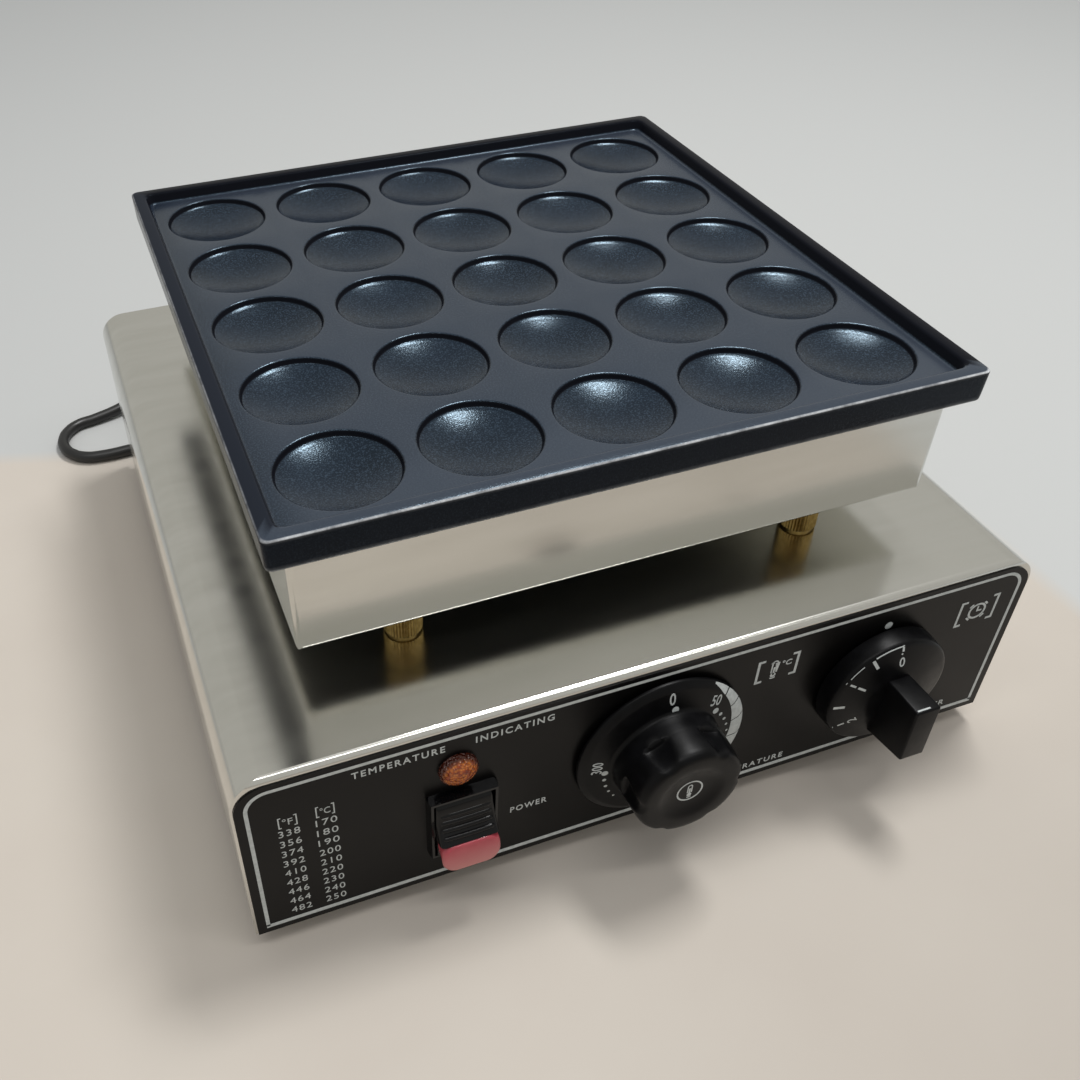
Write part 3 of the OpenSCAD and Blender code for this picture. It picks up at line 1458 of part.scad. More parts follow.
module plug_pin_places() {
    for (s = [-1, 1]) translate([0, s * plug_pin_gap, 0]) children();
}

module plug_pins() {
    l = plug_neck_len + plug_body_len;
    color(zinc) translate([plug_at[0], plug_at[1], plug_axis_z]) rotate([0, 90, 0]) plug_pin_places()
        translate([0, 0, l - 2]) rotate_extrude() polygon([
            [0, 0], [plug_pin_d / 2, 0], [plug_pin_d / 2, plug_pin_len],
            [plug_pin_d / 2 - 1, plug_pin_len + 2], [0, plug_pin_len + 2]
        ]);
}

grill_plate();
plate_screws();
heater_box();
heating_element();
element_terminals();
clamp_bars();
clamp_screws();
sensor_bulb();
bulb_clip();
insulation_board();
standoffs();
standoff_bolts();
standoff_washers();
standoff_nuts();
wire_conduit();
conduit_nuts();
base_shell();
control_overlay();
back_panel();
back_screws();
bottom_plate();
bottom_screws();
rubber_feet();
foot_screws();
foot_nuts();
switch_housing();
switch_terminals();
rocker_button();
rocker_lens();
lamp_lens();
lamp_body();
lamp_nut();
thermostat_body();
thermostat_screws();
thermostat_shaft();
thermostat_knob();
thermostat_cap();
capillary_tube();
timer_body();
timer_screws();
timer_shaft();
timer_knob();
terminal_block();
heater_wires();
mains_wires();
control_wires();
earth_stud();
strain_relief();
gland_nut();
cord_lead();
cord_hank();
cord_tie();
cord_tail();
plug_body();
plug_pins();
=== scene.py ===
# %% [markdown]
# # Mini pancake maker
# The machine is a table-top grill: a coated cast plate with 25 shallow dishes sits on a folded steel box, and
# four brass spacers hold that box above a steel base with a printed control panel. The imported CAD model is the
# fixed frame. Everything below adds looks to it: finer shapes, printing, finishes, light and a camera.

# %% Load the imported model
import json
import math

import bmesh
import bpy
import numpy as np
from mathutils import Matrix, Vector


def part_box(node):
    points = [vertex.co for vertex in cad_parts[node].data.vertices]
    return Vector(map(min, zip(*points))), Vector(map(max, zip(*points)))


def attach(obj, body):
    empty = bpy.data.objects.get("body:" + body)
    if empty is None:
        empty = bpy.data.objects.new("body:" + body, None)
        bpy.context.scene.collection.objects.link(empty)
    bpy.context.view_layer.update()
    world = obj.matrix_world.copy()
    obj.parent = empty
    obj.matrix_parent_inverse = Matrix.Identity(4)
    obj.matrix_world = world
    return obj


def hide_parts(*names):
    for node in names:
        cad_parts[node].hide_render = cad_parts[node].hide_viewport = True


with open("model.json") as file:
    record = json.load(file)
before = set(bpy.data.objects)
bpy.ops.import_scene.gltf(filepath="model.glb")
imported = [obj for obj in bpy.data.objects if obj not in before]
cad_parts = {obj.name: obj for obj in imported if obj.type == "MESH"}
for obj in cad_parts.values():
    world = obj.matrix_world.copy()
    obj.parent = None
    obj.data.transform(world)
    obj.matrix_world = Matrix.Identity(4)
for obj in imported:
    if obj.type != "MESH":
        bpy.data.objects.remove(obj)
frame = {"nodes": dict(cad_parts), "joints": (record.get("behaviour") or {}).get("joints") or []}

MM = 0.001
nodes = frame["nodes"]
joints = {joint["name"]: joint for joint in frame["joints"]}
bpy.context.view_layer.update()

# %% [markdown]
# ## Camera
# The picture was taken from the front left, well above the table. The place, the turn and the lens were worked
# out from the corners of the plate and the panel, which are rectangles of known proportion. The middle of the
# lens lies a little to one side of the picture's middle, which a small camera shift repeats.

# %% Camera
CAMERA_AT = Vector((-166.13, -374.29, 387.91)) * MM
AZIMUTH, ELEVATION, ROLL = (math.radians(turn) for turn in (-19.53, 40.85, -0.79))

towards = Vector((math.sin(AZIMUTH) * math.cos(ELEVATION), -math.cos(AZIMUTH) * math.cos(ELEVATION),
                  math.sin(ELEVATION)))
level = (-towards).cross(Vector((0, 0, 1))).normalized()
upright = level.cross(-towards)
across = math.cos(ROLL) * level + math.sin(ROLL) * upright
above = -math.sin(ROLL) * level + math.cos(ROLL) * upright


def linked(name, data):
    """A new object in the scene."""
    made = bpy.data.objects.new(name, data)
    bpy.context.scene.collection.objects.link(made)
    return made


camera = linked("camera", bpy.data.cameras.new("camera"))
camera.matrix_world = Matrix.Translation(CAMERA_AT) @ Matrix((across, above, towards)).transposed().to_4x4()
camera.data.sensor_width = 36
camera.data.lens = 37.587
camera.data.shift_x = 0.088
camera.data.shift_y = 0.0014
camera.data.clip_start = 0.01
bpy.context.scene.camera = camera
print("camera", [round(v, 3) for v in camera.location])

# %% [markdown]
# ## Helpers for finishes
# A finish is a small network of nodes. One function adds a node with its settings and links, and one turns a
# colour as a screen shows it into the linear light that a shader works with. Two more map a value to a range and
# mix two colours. Most surfaces here are the same idea at different sizes: two close shades in soft patches, a
# gloss that follows the patches, and a fine grain that the light catches. One recipe makes that from sizes in
# millimetres, and a last function opens a finish again to add to it.

# %% Nodes, colours and the common recipe
def linear(shade):
    """sRGB hex to a linear colour with alpha."""
    parts = [int(shade[i:i + 2], 16) / 255 for i in (1, 3, 5)]
    return (*(p / 12.92 if p <= 0.04045 else ((p + 0.055) / 1.055) ** 2.4 for p in parts), 1.0)


def add(tree, kind, inputs=(), **settings):
    """A node with its settings. An input takes a value, or a socket to link from."""
    node = tree.nodes.new(kind)
    for name, value in settings.items():
        setattr(node, name, value)
    for key, value in dict(inputs).items():
        if isinstance(value, bpy.types.NodeSocket):
            tree.links.new(value, node.inputs[key])
        else:
            node.inputs[key].default_value = value
    return node


def ranged(tree, value, low, high, to_low=0.0, to_high=1.0):
    """A value mapped from one range to another, and held inside it."""
    return add(tree, "ShaderNodeMapRange", {"Value": value, "From Min": low, "From Max": high, "To Min": to_low,
                                            "To Max": to_high}).outputs["Result"]


def mixed(tree, share, first, second):
    """Two colours mixed by a share."""
    return add(tree, "ShaderNodeMix", {0: share, 6: first, 7: second}, data_type="RGBA").outputs[2]


def finish(name, shades, patch, rough, grain=0.0, depth=0.0, along=(1, 1, 1), **sockets):
    """Two shades in patches, gloss between two values, and a grain of a size and depth, all in millimetres."""
    made = bpy.data.materials.new(name)
    made.use_nodes = True
    tree = made.node_tree
    shader = tree.nodes["Principled BSDF"]
    place = add(tree, "ShaderNodeTexCoord").outputs["Object"]
    drawn = add(tree, "ShaderNodeMapping", {"Vector": place, "Scale": along}).outputs["Vector"]
    clouds = add(tree, "ShaderNodeTexNoise", {"Vector": drawn, "Scale": 1 / (patch * MM), "Detail": 5.0})
    cloud = clouds.outputs["Fac"]
    shade = mixed(tree, ranged(tree, cloud, 0.3, 0.7), linear(shades[0]), linear(shades[1]))
    tree.links.new(shade, shader.inputs["Base Color"])
    tree.links.new(ranged(tree, cloud, 0.3, 0.7, *rough), shader.inputs["Roughness"])
    if depth:
        fine = add(tree, "ShaderNodeTexNoise", {"Vector": drawn, "Scale": 1 / (grain * MM), "Detail": 2.0})
        bump = add(tree, "ShaderNodeBump", {"Height": fine.outputs["Fac"], "Distance": depth * MM})
        tree.links.new(bump.outputs["Normal"], shader.inputs["Normal"])
    for socket, value in sockets.items():
        shader.inputs[socket.replace("_", " ")].default_value = value
    return made


def opened(made):
    """The tree, shader, object coordinates and colour so far of a finish, to add to it."""
    tree = made.node_tree
    shader = tree.nodes["Principled BSDF"]
    place = add(tree, "ShaderNodeTexCoord").outputs["Object"]
    return tree, shader, place, shader.inputs["Base Color"].links[0].from_socket


print("recipe ready")

# %% [markdown]
# ## Metals
# The casing is stainless sheet, rolled to a satin face. Its fine lines run along the sheet, so the gloss is
# softer across them than along them. The spacers are turned brass, and the screws are zinc plated.

# %% Metal finishes
# Satin-rolled stainless: warm grey, half mirror, with fine lines along the sheet and soft smears
stainless = finish("stainless_satin_rolled", ("#d8d7d2", "#d1d0ca"), 60, (0.17, 0.21), 1.1, 0.0005, (1, 7, 7),
                   Metallic=1.0)
# Bright zinc plate on steel: cool and slightly cloudy
zinc = finish("steel_zinc_plated", ("#b9bcc0", "#8e9197"), 3, (0.28, 0.42), 0.4, 0.004, Metallic=1.0)
# Stainless tube that has been hot: straw and brown tints
sheath = finish("stainless_heat_tinted", ("#7d7263", "#4d4741"), 12, (0.35, 0.5), 0.5, 0.004, Metallic=1.0)
# Turned brass: yellow, with a slightly dull skin
brass = finish("brass_turned", ("#b59c62", "#8b7342"), 2.5, (0.26, 0.4), 0.3, 0.003, Metallic=1.0)
# Drawn copper tube with a browned skin
copper = finish("copper_drawn", ("#b87350", "#8a5136"), 4, (0.3, 0.45), 0.4, 0.003, Metallic=1.0)
# Nickel plate on the plug's pins
nickel = finish("brass_nickel_plated", ("#c5c2ba", "#aaa79f"), 4, (0.18, 0.28), 0.4, 0.002, Metallic=1.0)
print("metals", [m.name for m in (stainless, zinc, sheath, brass, copper, nickel)])

# %% [markdown]
# ## Plastics, rubber and board
# The knobs are moulded black plastic with an eggshell face, the rocker is polished, and the panel's face is a
# printed film. Rubber is duller and dusty. Inside there are porcelain, fibre board and sleeved wires.

# %% Plastic, rubber and board finishes
# Moulded phenolic knobs: black, eggshell gloss, with the faint mottle of the mould
black_satin = finish("phenolic_moulded_satin", ("#060607", "#0a0a0c"), 5, (0.3, 0.4), 0.25, 0.005, IOR=1.5,
                     Specular_IOR_Level=0.13)
# Polished nylon of the switch: black with sharp highlights
black_gloss = finish("nylon_moulded_gloss", ("#050506", "#09090b"), 6, (0.07, 0.13), 0.5, 0.002, IOR=1.53,
                     Specular_IOR_Level=0.25)
# Printed polyester film: near-black with a very fine even texture
overlay_film = finish("polyester_film_printed", ("#060505", "#080707"), 30, (0.3, 0.36), 0.35, 0.004, IOR=1.57,
                      Specular_IOR_Level=0.12)
# Screen-printed ink: pale grey, slightly uneven cover
ink = finish("ink_screen_printed", ("#c3c7c5", "#aeb3b1"), 1.6, (0.45, 0.6), 0.3, 0.004, IOR=1.5)
# Moulded rubber: black, dull, with a bloom
rubber = finish("rubber_moulded", ("#101011", "#1b1b1c"), 7, (0.5, 0.66), 0.5, 0.015, IOR=1.52)
# Flexible vinyl of the mains lead
vinyl = finish("vinyl_sheathing_extruded", ("#0d0d0e", "#161617"), 9, (0.36, 0.48), 0.5, 0.008, IOR=1.53)
# Unglazed steatite of the terminal block and beads
porcelain = finish("steatite_fired", ("#ded6c4", "#cfc6b2"), 6, (0.55, 0.7), 0.5, 0.02, IOR=1.6)
# Pressed mineral fibre
board = finish("mineral_fibre_pressed", ("#c7bca4", "#b0a58d"), 5, (0.85, 0.95), 0.9, 0.12, IOR=1.45)
# Natural nylon of the hidden control bodies
pale = finish("nylon_moulded_natural", ("#cfcabb", "#bfb9a8"), 8, (0.4, 0.5), 0.5, 0.008, IOR=1.53)
# Silicone sleeving of the wires
sleeve = finish("silicone_sleeving", ("#c9bfa2", "#b3a98d"), 5, (0.5, 0.6), 0.6, 0.02, IOR=1.41)
print("plastics ready")

# %% [markdown]
# ## Plain finishes on the CAD nodes
# A sheet part, a nut or a wire already has its true shape in the CAD model, so it only needs its finish. Each
# node is named with the finish of its real material.

# %% Finishes on the CAD nodes
worn_by = {
    stainless: ["heater_box", "base_shell", "back_panel", "bottom_plate"],
    zinc: ["plate_screws", "clamp_bars", "clamp_screws", "bulb_clip", "standoff_bolts", "standoff_washers",
           "standoff_nuts", "wire_conduit", "conduit_nuts", "foot_screws", "foot_nuts", "lamp_nut",
           "thermostat_screws", "thermostat_shaft", "timer_screws", "timer_shaft"],
    sheath: ["heating_element"],
    brass: ["standoffs", "switch_terminals", "earth_stud", "element_terminals"],
    copper: ["sensor_bulb", "capillary_tube"],
    nickel: ["plug_pins"],
    overlay_film: ["control_overlay"],
    black_gloss: ["switch_housing"],
    black_satin: ["gland_nut"],
    rubber: ["rubber_feet", "strain_relief", "plug_body"],
    porcelain: ["terminal_block"],
    board: ["insulation_board"],
    pale: ["thermostat_body", "timer_body", "lamp_body"],
    sleeve: ["heater_wires", "mains_wires", "control_wires"],
}
for worn, names in worn_by.items():
    for name in names:
        nodes[name].data.materials.clear()
        nodes[name].data.materials.append(worn)
print(sum(map(len, worn_by.values())), "nodes have a finish")

# %% [markdown]
# ## Mains lead
# The lead leaves the back of the base through a tapered strain relief, drops to the table, and its spare length
# is folded into a hank behind the machine, held by a band, with the plug beside it. The last loop is long and
# shows beside the casing. A Bezier curve with automatic handles passes through every point of the CAD route,
# so the loops are round.

# %% Mains lead
CORD = 6.4
# The CAD route's own sizes: runs, folds and layers of the hank, in millimetres and shares of a turn
HANK_RUN, HANK_LOOPS, RUN_SHARE, TURN_AT = 100, 2.8, 0.3, 1.15
HANK_INNER, HANK_STEP, HANK_LAYER, WAIST, TIE_LIFT = 3.15 * CORD, 1.5 * CORD, 1.1 * CORD, 0.22, 0.8
FOLD_INSET, LONG_REACH, LONG_NIP, LONG_SWAY, TAPER_FROM = 20, 56, 3.05 * CORD, 15.5, HANK_RUN / 2 - 8
RUN_RINGS, FOLD_RINGS, HANK_AWAY, HANK_CLEAR = 8, 7, 195, 9
# Shares of the way in x, y and z, from the exit to the hank and from the hank to the plug
LEAD_STEPS = [
    (0, 0.26, 0.02), (0.02, 0.53, 0.1), (0.06, 0.76, 0.24), (0.12, 0.91, 0.42), (0.19, 0.98, 0.61),
    (0.27, 1, 0.78), (0.35, 1, 0.91), (0.43, 1, 0.97), (0.52, 1, 1), (0.6, 1, 1), (0.69, 1, 1), (0.77, 1, 1),
    (0.85, 1, 1), (0.93, 1, 1)]
TAIL_STEPS = [
    (0.1, 0.02, 0), (0.22, 0.06, 0), (0.35, 0.14, 0.1), (0.48, 0.3, 0.31), (0.6, 0.52, 0.55), (0.72, 0.76, 0.78),
    (0.84, 0.94, 0.94), (0.92, 1, 1)]

casing_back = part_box("base_shell")[1].y / MM
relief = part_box("strain_relief")
exit_at = Vector(((relief[0].x + relief[1].x) / 2, relief[1].y, (relief[0].z + relief[1].z) / 2)) / MM
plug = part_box("plug_body")
plug_end = Vector((plug[0].x, (plug[0].y + plug[1].y) / 2, (plug[0].z + plug[1].z) / 2)) / MM
hank_widest = HANK_INNER + HANK_STEP * (HANK_LOOPS - TURN_AT)
hank_at = Vector((exit_at.x - HANK_AWAY, casing_back + HANK_CLEAR + hank_widest, CORD / 2 + 0.1))


def smooth(share):
    """A soft step from 0 to 1."""
    share = min(1, max(0, share))
    return (3 - 2 * share) * share * share


def hank_point(t):
    """Place of the cord after t turns: back run, left fold, front run, right fold. The last turn is long."""
    last, u = t >= int(HANK_LOOPS), t % 1
    far = HANK_RUN / 2 + (LONG_REACH if last else -FOLD_INSET)
    start, stop = (HANK_RUN / 2, -far) if u < 0.5 else (-far, HANK_RUN / 2)
    x = start + min(1, u % 0.5 / RUN_SHARE) * (stop - start)
    turn = math.radians((90 if u < 0.5 else 270) + 180 * max(0, u % 0.5 - RUN_SHARE) / (0.5 - RUN_SHARE))
    nip = smooth(-(x + TAPER_FROM) / (far - TAPER_FROM)) if last else 0
    half = HANK_INNER + HANK_STEP * abs(t - TURN_AT)
    half += nip * (LONG_NIP - half)
    x += half * math.cos(turn)
    drawn_in = max(0, 1 - (2 * x / HANK_RUN) ** 2) ** 2
    sunk = 1 if last and u >= RUN_SHARE else nip
    height = HANK_LAYER * smooth((t - TURN_AT + RUN_SHARE / 2) / RUN_SHARE) * (1 - sunk) + TIE_LIFT * drawn_in
    return hank_at + Vector((x, half * math.sin(turn) * (1 - WAIST * drawn_in) - LONG_SWAY * nip, height))


marks = [RUN_SHARE * i / RUN_RINGS for i in range(RUN_RINGS)]
marks += [RUN_SHARE + (0.5 - RUN_SHARE) * i / FOLD_RINGS for i in range(FOLD_RINGS)]
turns = [k / 2 + m for k in range(6) for m in marks if k / 2 + m < HANK_LOOPS - 0.001] + [HANK_LOOPS]
hank = [hank_point(t) for t in turns]
hank = [hank[0] + Vector((CORD, 0, 0)), *hank, hank[-1] + Vector((CORD, 0, 0))]


def between(start, end, steps):
    """Points by shares of the way from start to end, along each axis."""
    return [Vector(a + k * (b - a) for a, b, k in zip(start, end, step)) for step in steps]


route = [exit_at, *between(exit_at, hank[0], LEAD_STEPS), *hank,
         *between(hank[-1], plug_end, TAIL_STEPS), plug_end]
line = bpy.data.curves.new("mains_lead", "CURVE")
line.dimensions = "3D"
line.bevel_depth = CORD / 2 * MM
line.bevel_resolution = 5
line.resolution_u = 6
line.use_fill_caps = True
spline = line.splines.new("BEZIER")
spline.bezier_points.add(len(route) - 1)
for point, place in zip(spline.bezier_points, route):
    point.co = place * MM
    point.handle_left_type = point.handle_right_type = "AUTO"
line.materials.append(vinyl)
mains_lead = linked("mains_lead", line)
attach(mains_lead, "machine")
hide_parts("cord_lead", "cord_hank", "cord_tail")

# %% [markdown]
# ## Helpers for shapes
# Most pieces are rings of points, joined ring to ring: a dish, a knob and a rim all are. One helper makes such
# a skin, and one turns a finished mesh into a piece of the object: it gets its finish, rides on a body, and
# stands for the CAD nodes that it replaces.

# %% Skins and pieces
def skin(rings, close_start=True, close_end=True):
    """Closed rings of equal count joined in order. An end closes with one face, or a point if its ring is one."""
    made = bmesh.new()
    rows = [[made.verts.new(Vector(p) * MM) for p in ring] for ring in rings]
    for low, high in zip(rows, rows[1:]):
        count = max(len(low), len(high))
        for i in range(count):
            face = [low[i % len(low)], low[(i + 1) % len(low)], high[(i + 1) % len(high)], high[i % len(high)]]
            made.faces.new(list(dict.fromkeys(face)))
    for row, wanted in ((rows[0], close_start), (rows[-1], close_end)):
        if wanted and len(row) > 2:
            made.faces.new(row)
    bmesh.ops.recalc_face_normals(made, faces=made.faces)
    return made


def take_in(made, part):
    """The shape of one bmesh added to another."""
    passing = bpy.data.meshes.new("passing")
    part.to_mesh(passing)
    part.free()
    made.from_mesh(passing)
    bpy.data.meshes.remove(passing)


def to_mesh(made, name, sharp=30):
    """A smooth-shaded mesh from a bmesh, with edges kept sharp above an angle."""
    mesh = bpy.data.meshes.new(name)
    made.to_mesh(mesh)
    made.free()
    mesh.polygons.foreach_set("use_smooth", [True] * len(mesh.polygons))
    mesh.set_sharp_from_angle(angle=math.radians(sharp))
    return mesh


def piece(mesh, body, material, replaced=()):
    """A finished mesh as a piece of the object."""
    made = linked(mesh.name, mesh)
    mesh.materials.clear()
    mesh.materials.append(material)
    mesh.polygons.foreach_set("material_index", [0] * len(mesh.polygons))
    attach(made, body)
    if replaced:
        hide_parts(*replaced)
    return made


def ring(radius, height, count, middle=(0, 0)):
    """A level circle of points."""
    return [(middle[0] + radius * math.cos(2 * math.pi * i / count),
             middle[1] + radius * math.sin(2 * math.pi * i / count), height) for i in range(count)]


print("shape helpers ready")

# %% [markdown]
# ## Cord tie
# A flat elastic band holds the waist of the hank. It is a strip bent round a rounded oblong, a little thicker
# at its edges, so it is drawn as its cross-section carried round the hank.

# %% Cord tie
tie_low, tie_high = (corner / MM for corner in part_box("cord_tie"))
tie_half = (tie_high - tie_low) / 2
tie_mid = (tie_low + tie_high) / 2
# Place across the band, as a share of its half-width, and lift off its middle line
TIE_SECTION = [(-1, 0.0), (-0.94, 0.3), (-0.8, 0.12), (-0.3, 0.05), (0.3, 0.05), (0.8, 0.12), (0.94, 0.3), (1, 0.0),
               (0.94, -0.28), (0, -0.24), (-0.94, -0.28)]


def oblong(turn, half_y, half_z, corner):
    """A point and its outward direction on a rounded oblong in the y-z plane."""
    c, s = math.cos(turn), math.sin(turn)
    y = max(-1, min(1, c * 4)) * (half_y - corner) + corner * c
    z = max(-1, min(1, s * 4)) * (half_z - corner) + corner * s
    return Vector((0, y, z)), Vector((0, c, s))


TIE_RINGS, TIE_EDGE, TIE_CORNER = 96, 0.3, 3.2
rows = []
for i in range(TIE_RINGS):
    place, out = oblong(2 * math.pi * i / TIE_RINGS, tie_half.y - TIE_EDGE, tie_half.z - TIE_EDGE, TIE_CORNER)
    rows.append([tie_mid + place + out * lift + Vector((share * tie_half.x, 0, 0)) for share, lift in TIE_SECTION])
band = skin([*rows, rows[0]], False, False)
bmesh.ops.remove_doubles(band, verts=band.verts, dist=1e-6)
bmesh.ops.recalc_face_normals(band, faces=band.faces)
cord_band = piece(to_mesh(band, "cord_band", 40), "machine", rubber, ["cord_tie"])
print("band", len(cord_band.data.polygons), "faces")

# %% [markdown]
# ## Non-stick coat
# The plate is cast aluminium under a sprayed fluoropolymer coat. It is charcoal with a blue cast, semi-gloss,
# and slightly pebbled, so a highlight breaks into fine glitter, helped by paler spots painted in as glints.
# Handling has rubbed its outer edges paler. Painted light is added too: a painted highlight along the front top
# edge, a painted sheen on the flats and painted shade on the walls.

# %% Non-stick coat
# The real pebble is about 0.3 mm; it is drawn at 0.6 mm so that it shows at the picture's size
PEBBLE, SCUFF = 0.6, 9
coat = finish("fluoropolymer_sprayed_coat", ("#10161f", "#151d29"), 26, (0.17, 0.23), PEBBLE, 0.055, IOR=1.45)
tree, shader, place, shade = opened(coat)
shader.inputs["Specular Tint"].default_value = linear("#b8d6ea")
scuff = add(tree, "ShaderNodeTexNoise", {"Vector": place, "Scale": 1 / (SCUFF * MM), "Detail": 8.0,
                                         "Roughness": 0.7})
rubbed = ranged(tree, scuff.outputs["Fac"], 0.38, 0.62, 0.35, 1.0)
# Flakes in the coat glitter: small spots shine more and are painted paler, as painted glints
flakes = add(tree, "ShaderNodeTexNoise", {"Vector": place, "Scale": 1 / (PEBBLE * MM), "Detail": 1.0})
glitter = ranged(tree, flakes.outputs["Fac"], 0.48, 0.68)
shade = mixed(tree, glitter, shade, linear("#212c3a"))
shine = ranged(tree, glitter, 0.0, 1.0, 0.45, 1.0)
# Painted shade makes the walls darkest and dullest, a painted sheen makes the flats between the dishes paler, and
# the edges have rubbed spots with a painted highlight along the front top edge
shaded_walls, sheen_flats, edges = (add(tree, "ShaderNodeAttribute", attribute_name=name).outputs["Fac"]
                       for name in ("dark_wall", "wiped_flat", "worn_edge"))
tree.links.new(ranged(tree, shaded_walls, 0.0, 1.0, shine, 0.03), shader.inputs["Specular IOR Level"])
worn_spots_and_highlight = add(tree, "ShaderNodeMath", {0: edges, 1: rubbed}, operation="MULTIPLY").outputs[0]
for share, tone in ((shaded_walls, "#131419"), (sheen_flats, "#353b45"), (worn_spots_and_highlight, "#d4d6d8")):
    shade = mixed(tree, share, shade, linear(tone))
tree.links.new(shade, shader.inputs["Base Color"])
print(coat.name)

# %% [markdown]
# ## Grill plate
# Five rows of five dishes follow a rule, so Geometry Nodes make them: one cell with one dish is placed on a
# grid of points. The raised rim round the tray is the tree's own mesh. Its innermost points meet the outermost
# points of the cells, and merging by distance sews the two together.

# %% One cell with its dish
plate_low, plate_high = (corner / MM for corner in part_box("grill_plate"))
COOKING_Z = 165.0
plate_mid = Vector(((plate_low.x + plate_high.x) / 2, (plate_low.y + plate_high.y) / 2, COOKING_Z))
PITCH, DISHES, SEGMENTS = 50.0, 5, 96
# Radius and height of each ring from the tray's floor down the wall of a dish, then the bowl
LIP = [(22.7, 0.0), (22.3, -0.04), (21.95, -0.16), (21.65, -0.42), (21.45, -0.85), (21.25, -1.45), (21.0, -1.95),
       (20.75, -2.2)]
BOWL_R, BOWL_DEPTH, BOWL_EDGE, BOWL_RINGS = 57.0, 6.0, 20.3, 15


def square_ring(half, count):
    """Points on a square at even angles, so that neighbouring cells share theirs."""
    points = []
    for i in range(count):
        turn = 2 * math.pi * i / count
        c, s = math.cos(turn), math.sin(turn)
        reach = half / max(abs(c), abs(s))
        points.append((reach * c, reach * s, 0.0))
    return points


rings = [square_ring(PITCH / 2, SEGMENTS)]
rings += [ring(r, z, SEGMENTS) for r, z in LIP]
for i in range(1, BOWL_RINGS):
    r = BOWL_EDGE * (1 - i / BOWL_RINGS)
    rings.append(ring(r, BOWL_R - math.sqrt(BOWL_R ** 2 - r * r) - BOWL_DEPTH, SEGMENTS))
rings.append([(0, 0, -BOWL_DEPTH)])
cell = skin(rings, close_start=False)
if sum(face.normal.z for face in cell.faces) < 0:
    bmesh.ops.reverse_faces(cell, faces=cell.faces)
cell_mesh = to_mesh(cell, "dish_cell", 80)


def mark(mesh, name, values):
    """A number on each point of a mesh, for the finish to read."""
    mesh.attributes.new(name, "FLOAT", "POINT").data.foreach_set("value", values)


FLAT_Z, WALL_LOW, WALL_HIGH = -0.1, -2.1, -0.3
# Painted sheen: the flats between the dishes are paler
mark(cell_mesh, "wiped_flat", [float(v.co.z > FLAT_Z * MM) for v in cell_mesh.vertices])
# Painted shade: the walls of each dish's lip are darker and duller
mark(cell_mesh, "dark_wall", [float(WALL_LOW < v.co.z / MM < WALL_HIGH) for v in cell_mesh.vertices])
dish_cell = linked("dish_cell", cell_mesh)
print("cell", len(dish_cell.data.polygons), "faces")

# %% The rim
# Half-width, height over the tray, corner radius and wear of each loop, from the tray's floor to the underside
RIM = [(126.0, 0.05, 3.0, 0), (126.35, 0.3, 3.2, 0), (126.6, 0.8, 3.4, 0), (127.4, 3.4, 4.0, 0),
       (127.7, 3.95, 4.2, 0), (128.2, 4.25, 4.4, 0), (128.8, 4.3, 4.6, 0), (132.5, 4.28, 3.0, 0),
       (132.85, 4.12, 2.8, 0.8), (133.12, 3.85, 2.7, 1.0), (133.26, 3.5, 2.6, 0.1), (133.27, 2.6, 2.6, 0),
       (132.97, -6.2, 2.5, 0), (132.9, -7.4, 2.5, 0.1), (132.8, -8.0, 2.5, 0.35), (132.5, -8.4, 2.4, 0.3),
       (131.8, -8.6, 2.2, 0)]
CORNER_SHARE = 0.06
REACH = DISHES * PITCH / 2
# Places along a side of the tray, the same as those of the cells
ALONG = [cx + PITCH / 2 * math.tan(math.pi / 4 * k / 12)
         for cx in np.arange(-2, 3) * PITCH for k in range(-12, 12)]


def four_sides(front):
    """The points of the front side, turned to all four sides."""
    return [(c * x - s * y, s * x + c * y, z) for c, s in ((1, 0), (0, 1), (-1, 0), (0, -1)) for x, y, z in front]


def rounded_loop(half, height, corner):
    """A rounded square with one point for each outer point of the cells."""
    front = []
    for u in ALONG:
        share = u / REACH
        over = (abs(share) - 1 + CORNER_SHARE) / CORNER_SHARE
        if over <= 0:
            front.append((share / (1 - CORNER_SHARE) * (half - corner), -half, height))
        else:
            turn = math.radians(45 * over)
            front.append((math.copysign(half - corner + corner * math.sin(turn), share),
                          -(half - corner + corner * math.cos(turn)), height))
    return four_sides(front)


UNDER_HALF = 100
loops = [four_sides([(u, -REACH, 0.0) for u in ALONG])]
loops += [rounded_loop(half, height, corner) for half, height, corner, wear in RIM]
loops.append(rounded_loop(UNDER_HALF, *RIM[-1][1:3]))
rim = skin(loops, close_start=False)
if sum(f.normal.z for f in rim.faces if f.calc_center_median().z < -8.5 * MM) > 0:
    bmesh.ops.reverse_faces(rim, faces=rim.faces)
rim_mesh = to_mesh(rim, "plate_rim", 40)
# Loops 5 to 9 are the rim's top, and those past 11 its outer wall. Its front top has a painted sheen and a painted
# highlight on its edge, its left a little painted sheen, and painted shade darkens the rim, least on its front top
wear = [0, *(row[3] for row in RIM), 0]
TOP_HALF, EDGE_HALF = 127, 131
# Painted highlight along the rim's front top edge, with real rubbed spots on its edges
mark(rim_mesh, "worn_edge", [w * (1.0 if y < -EDGE_HALF else 0.35)
                             for w, loop in zip(wear, loops) for x, y, z in loop])
# Painted shade on the rim: darkest on its inner wall and top, least on its front top
mark(rim_mesh, "dark_wall", [0.25 if 4 < k < 9 and y < -TOP_HALF else 0.8 if k > 11 else float(k > 2)
                             for k, loop in enumerate(loops) for x, y, z in loop])
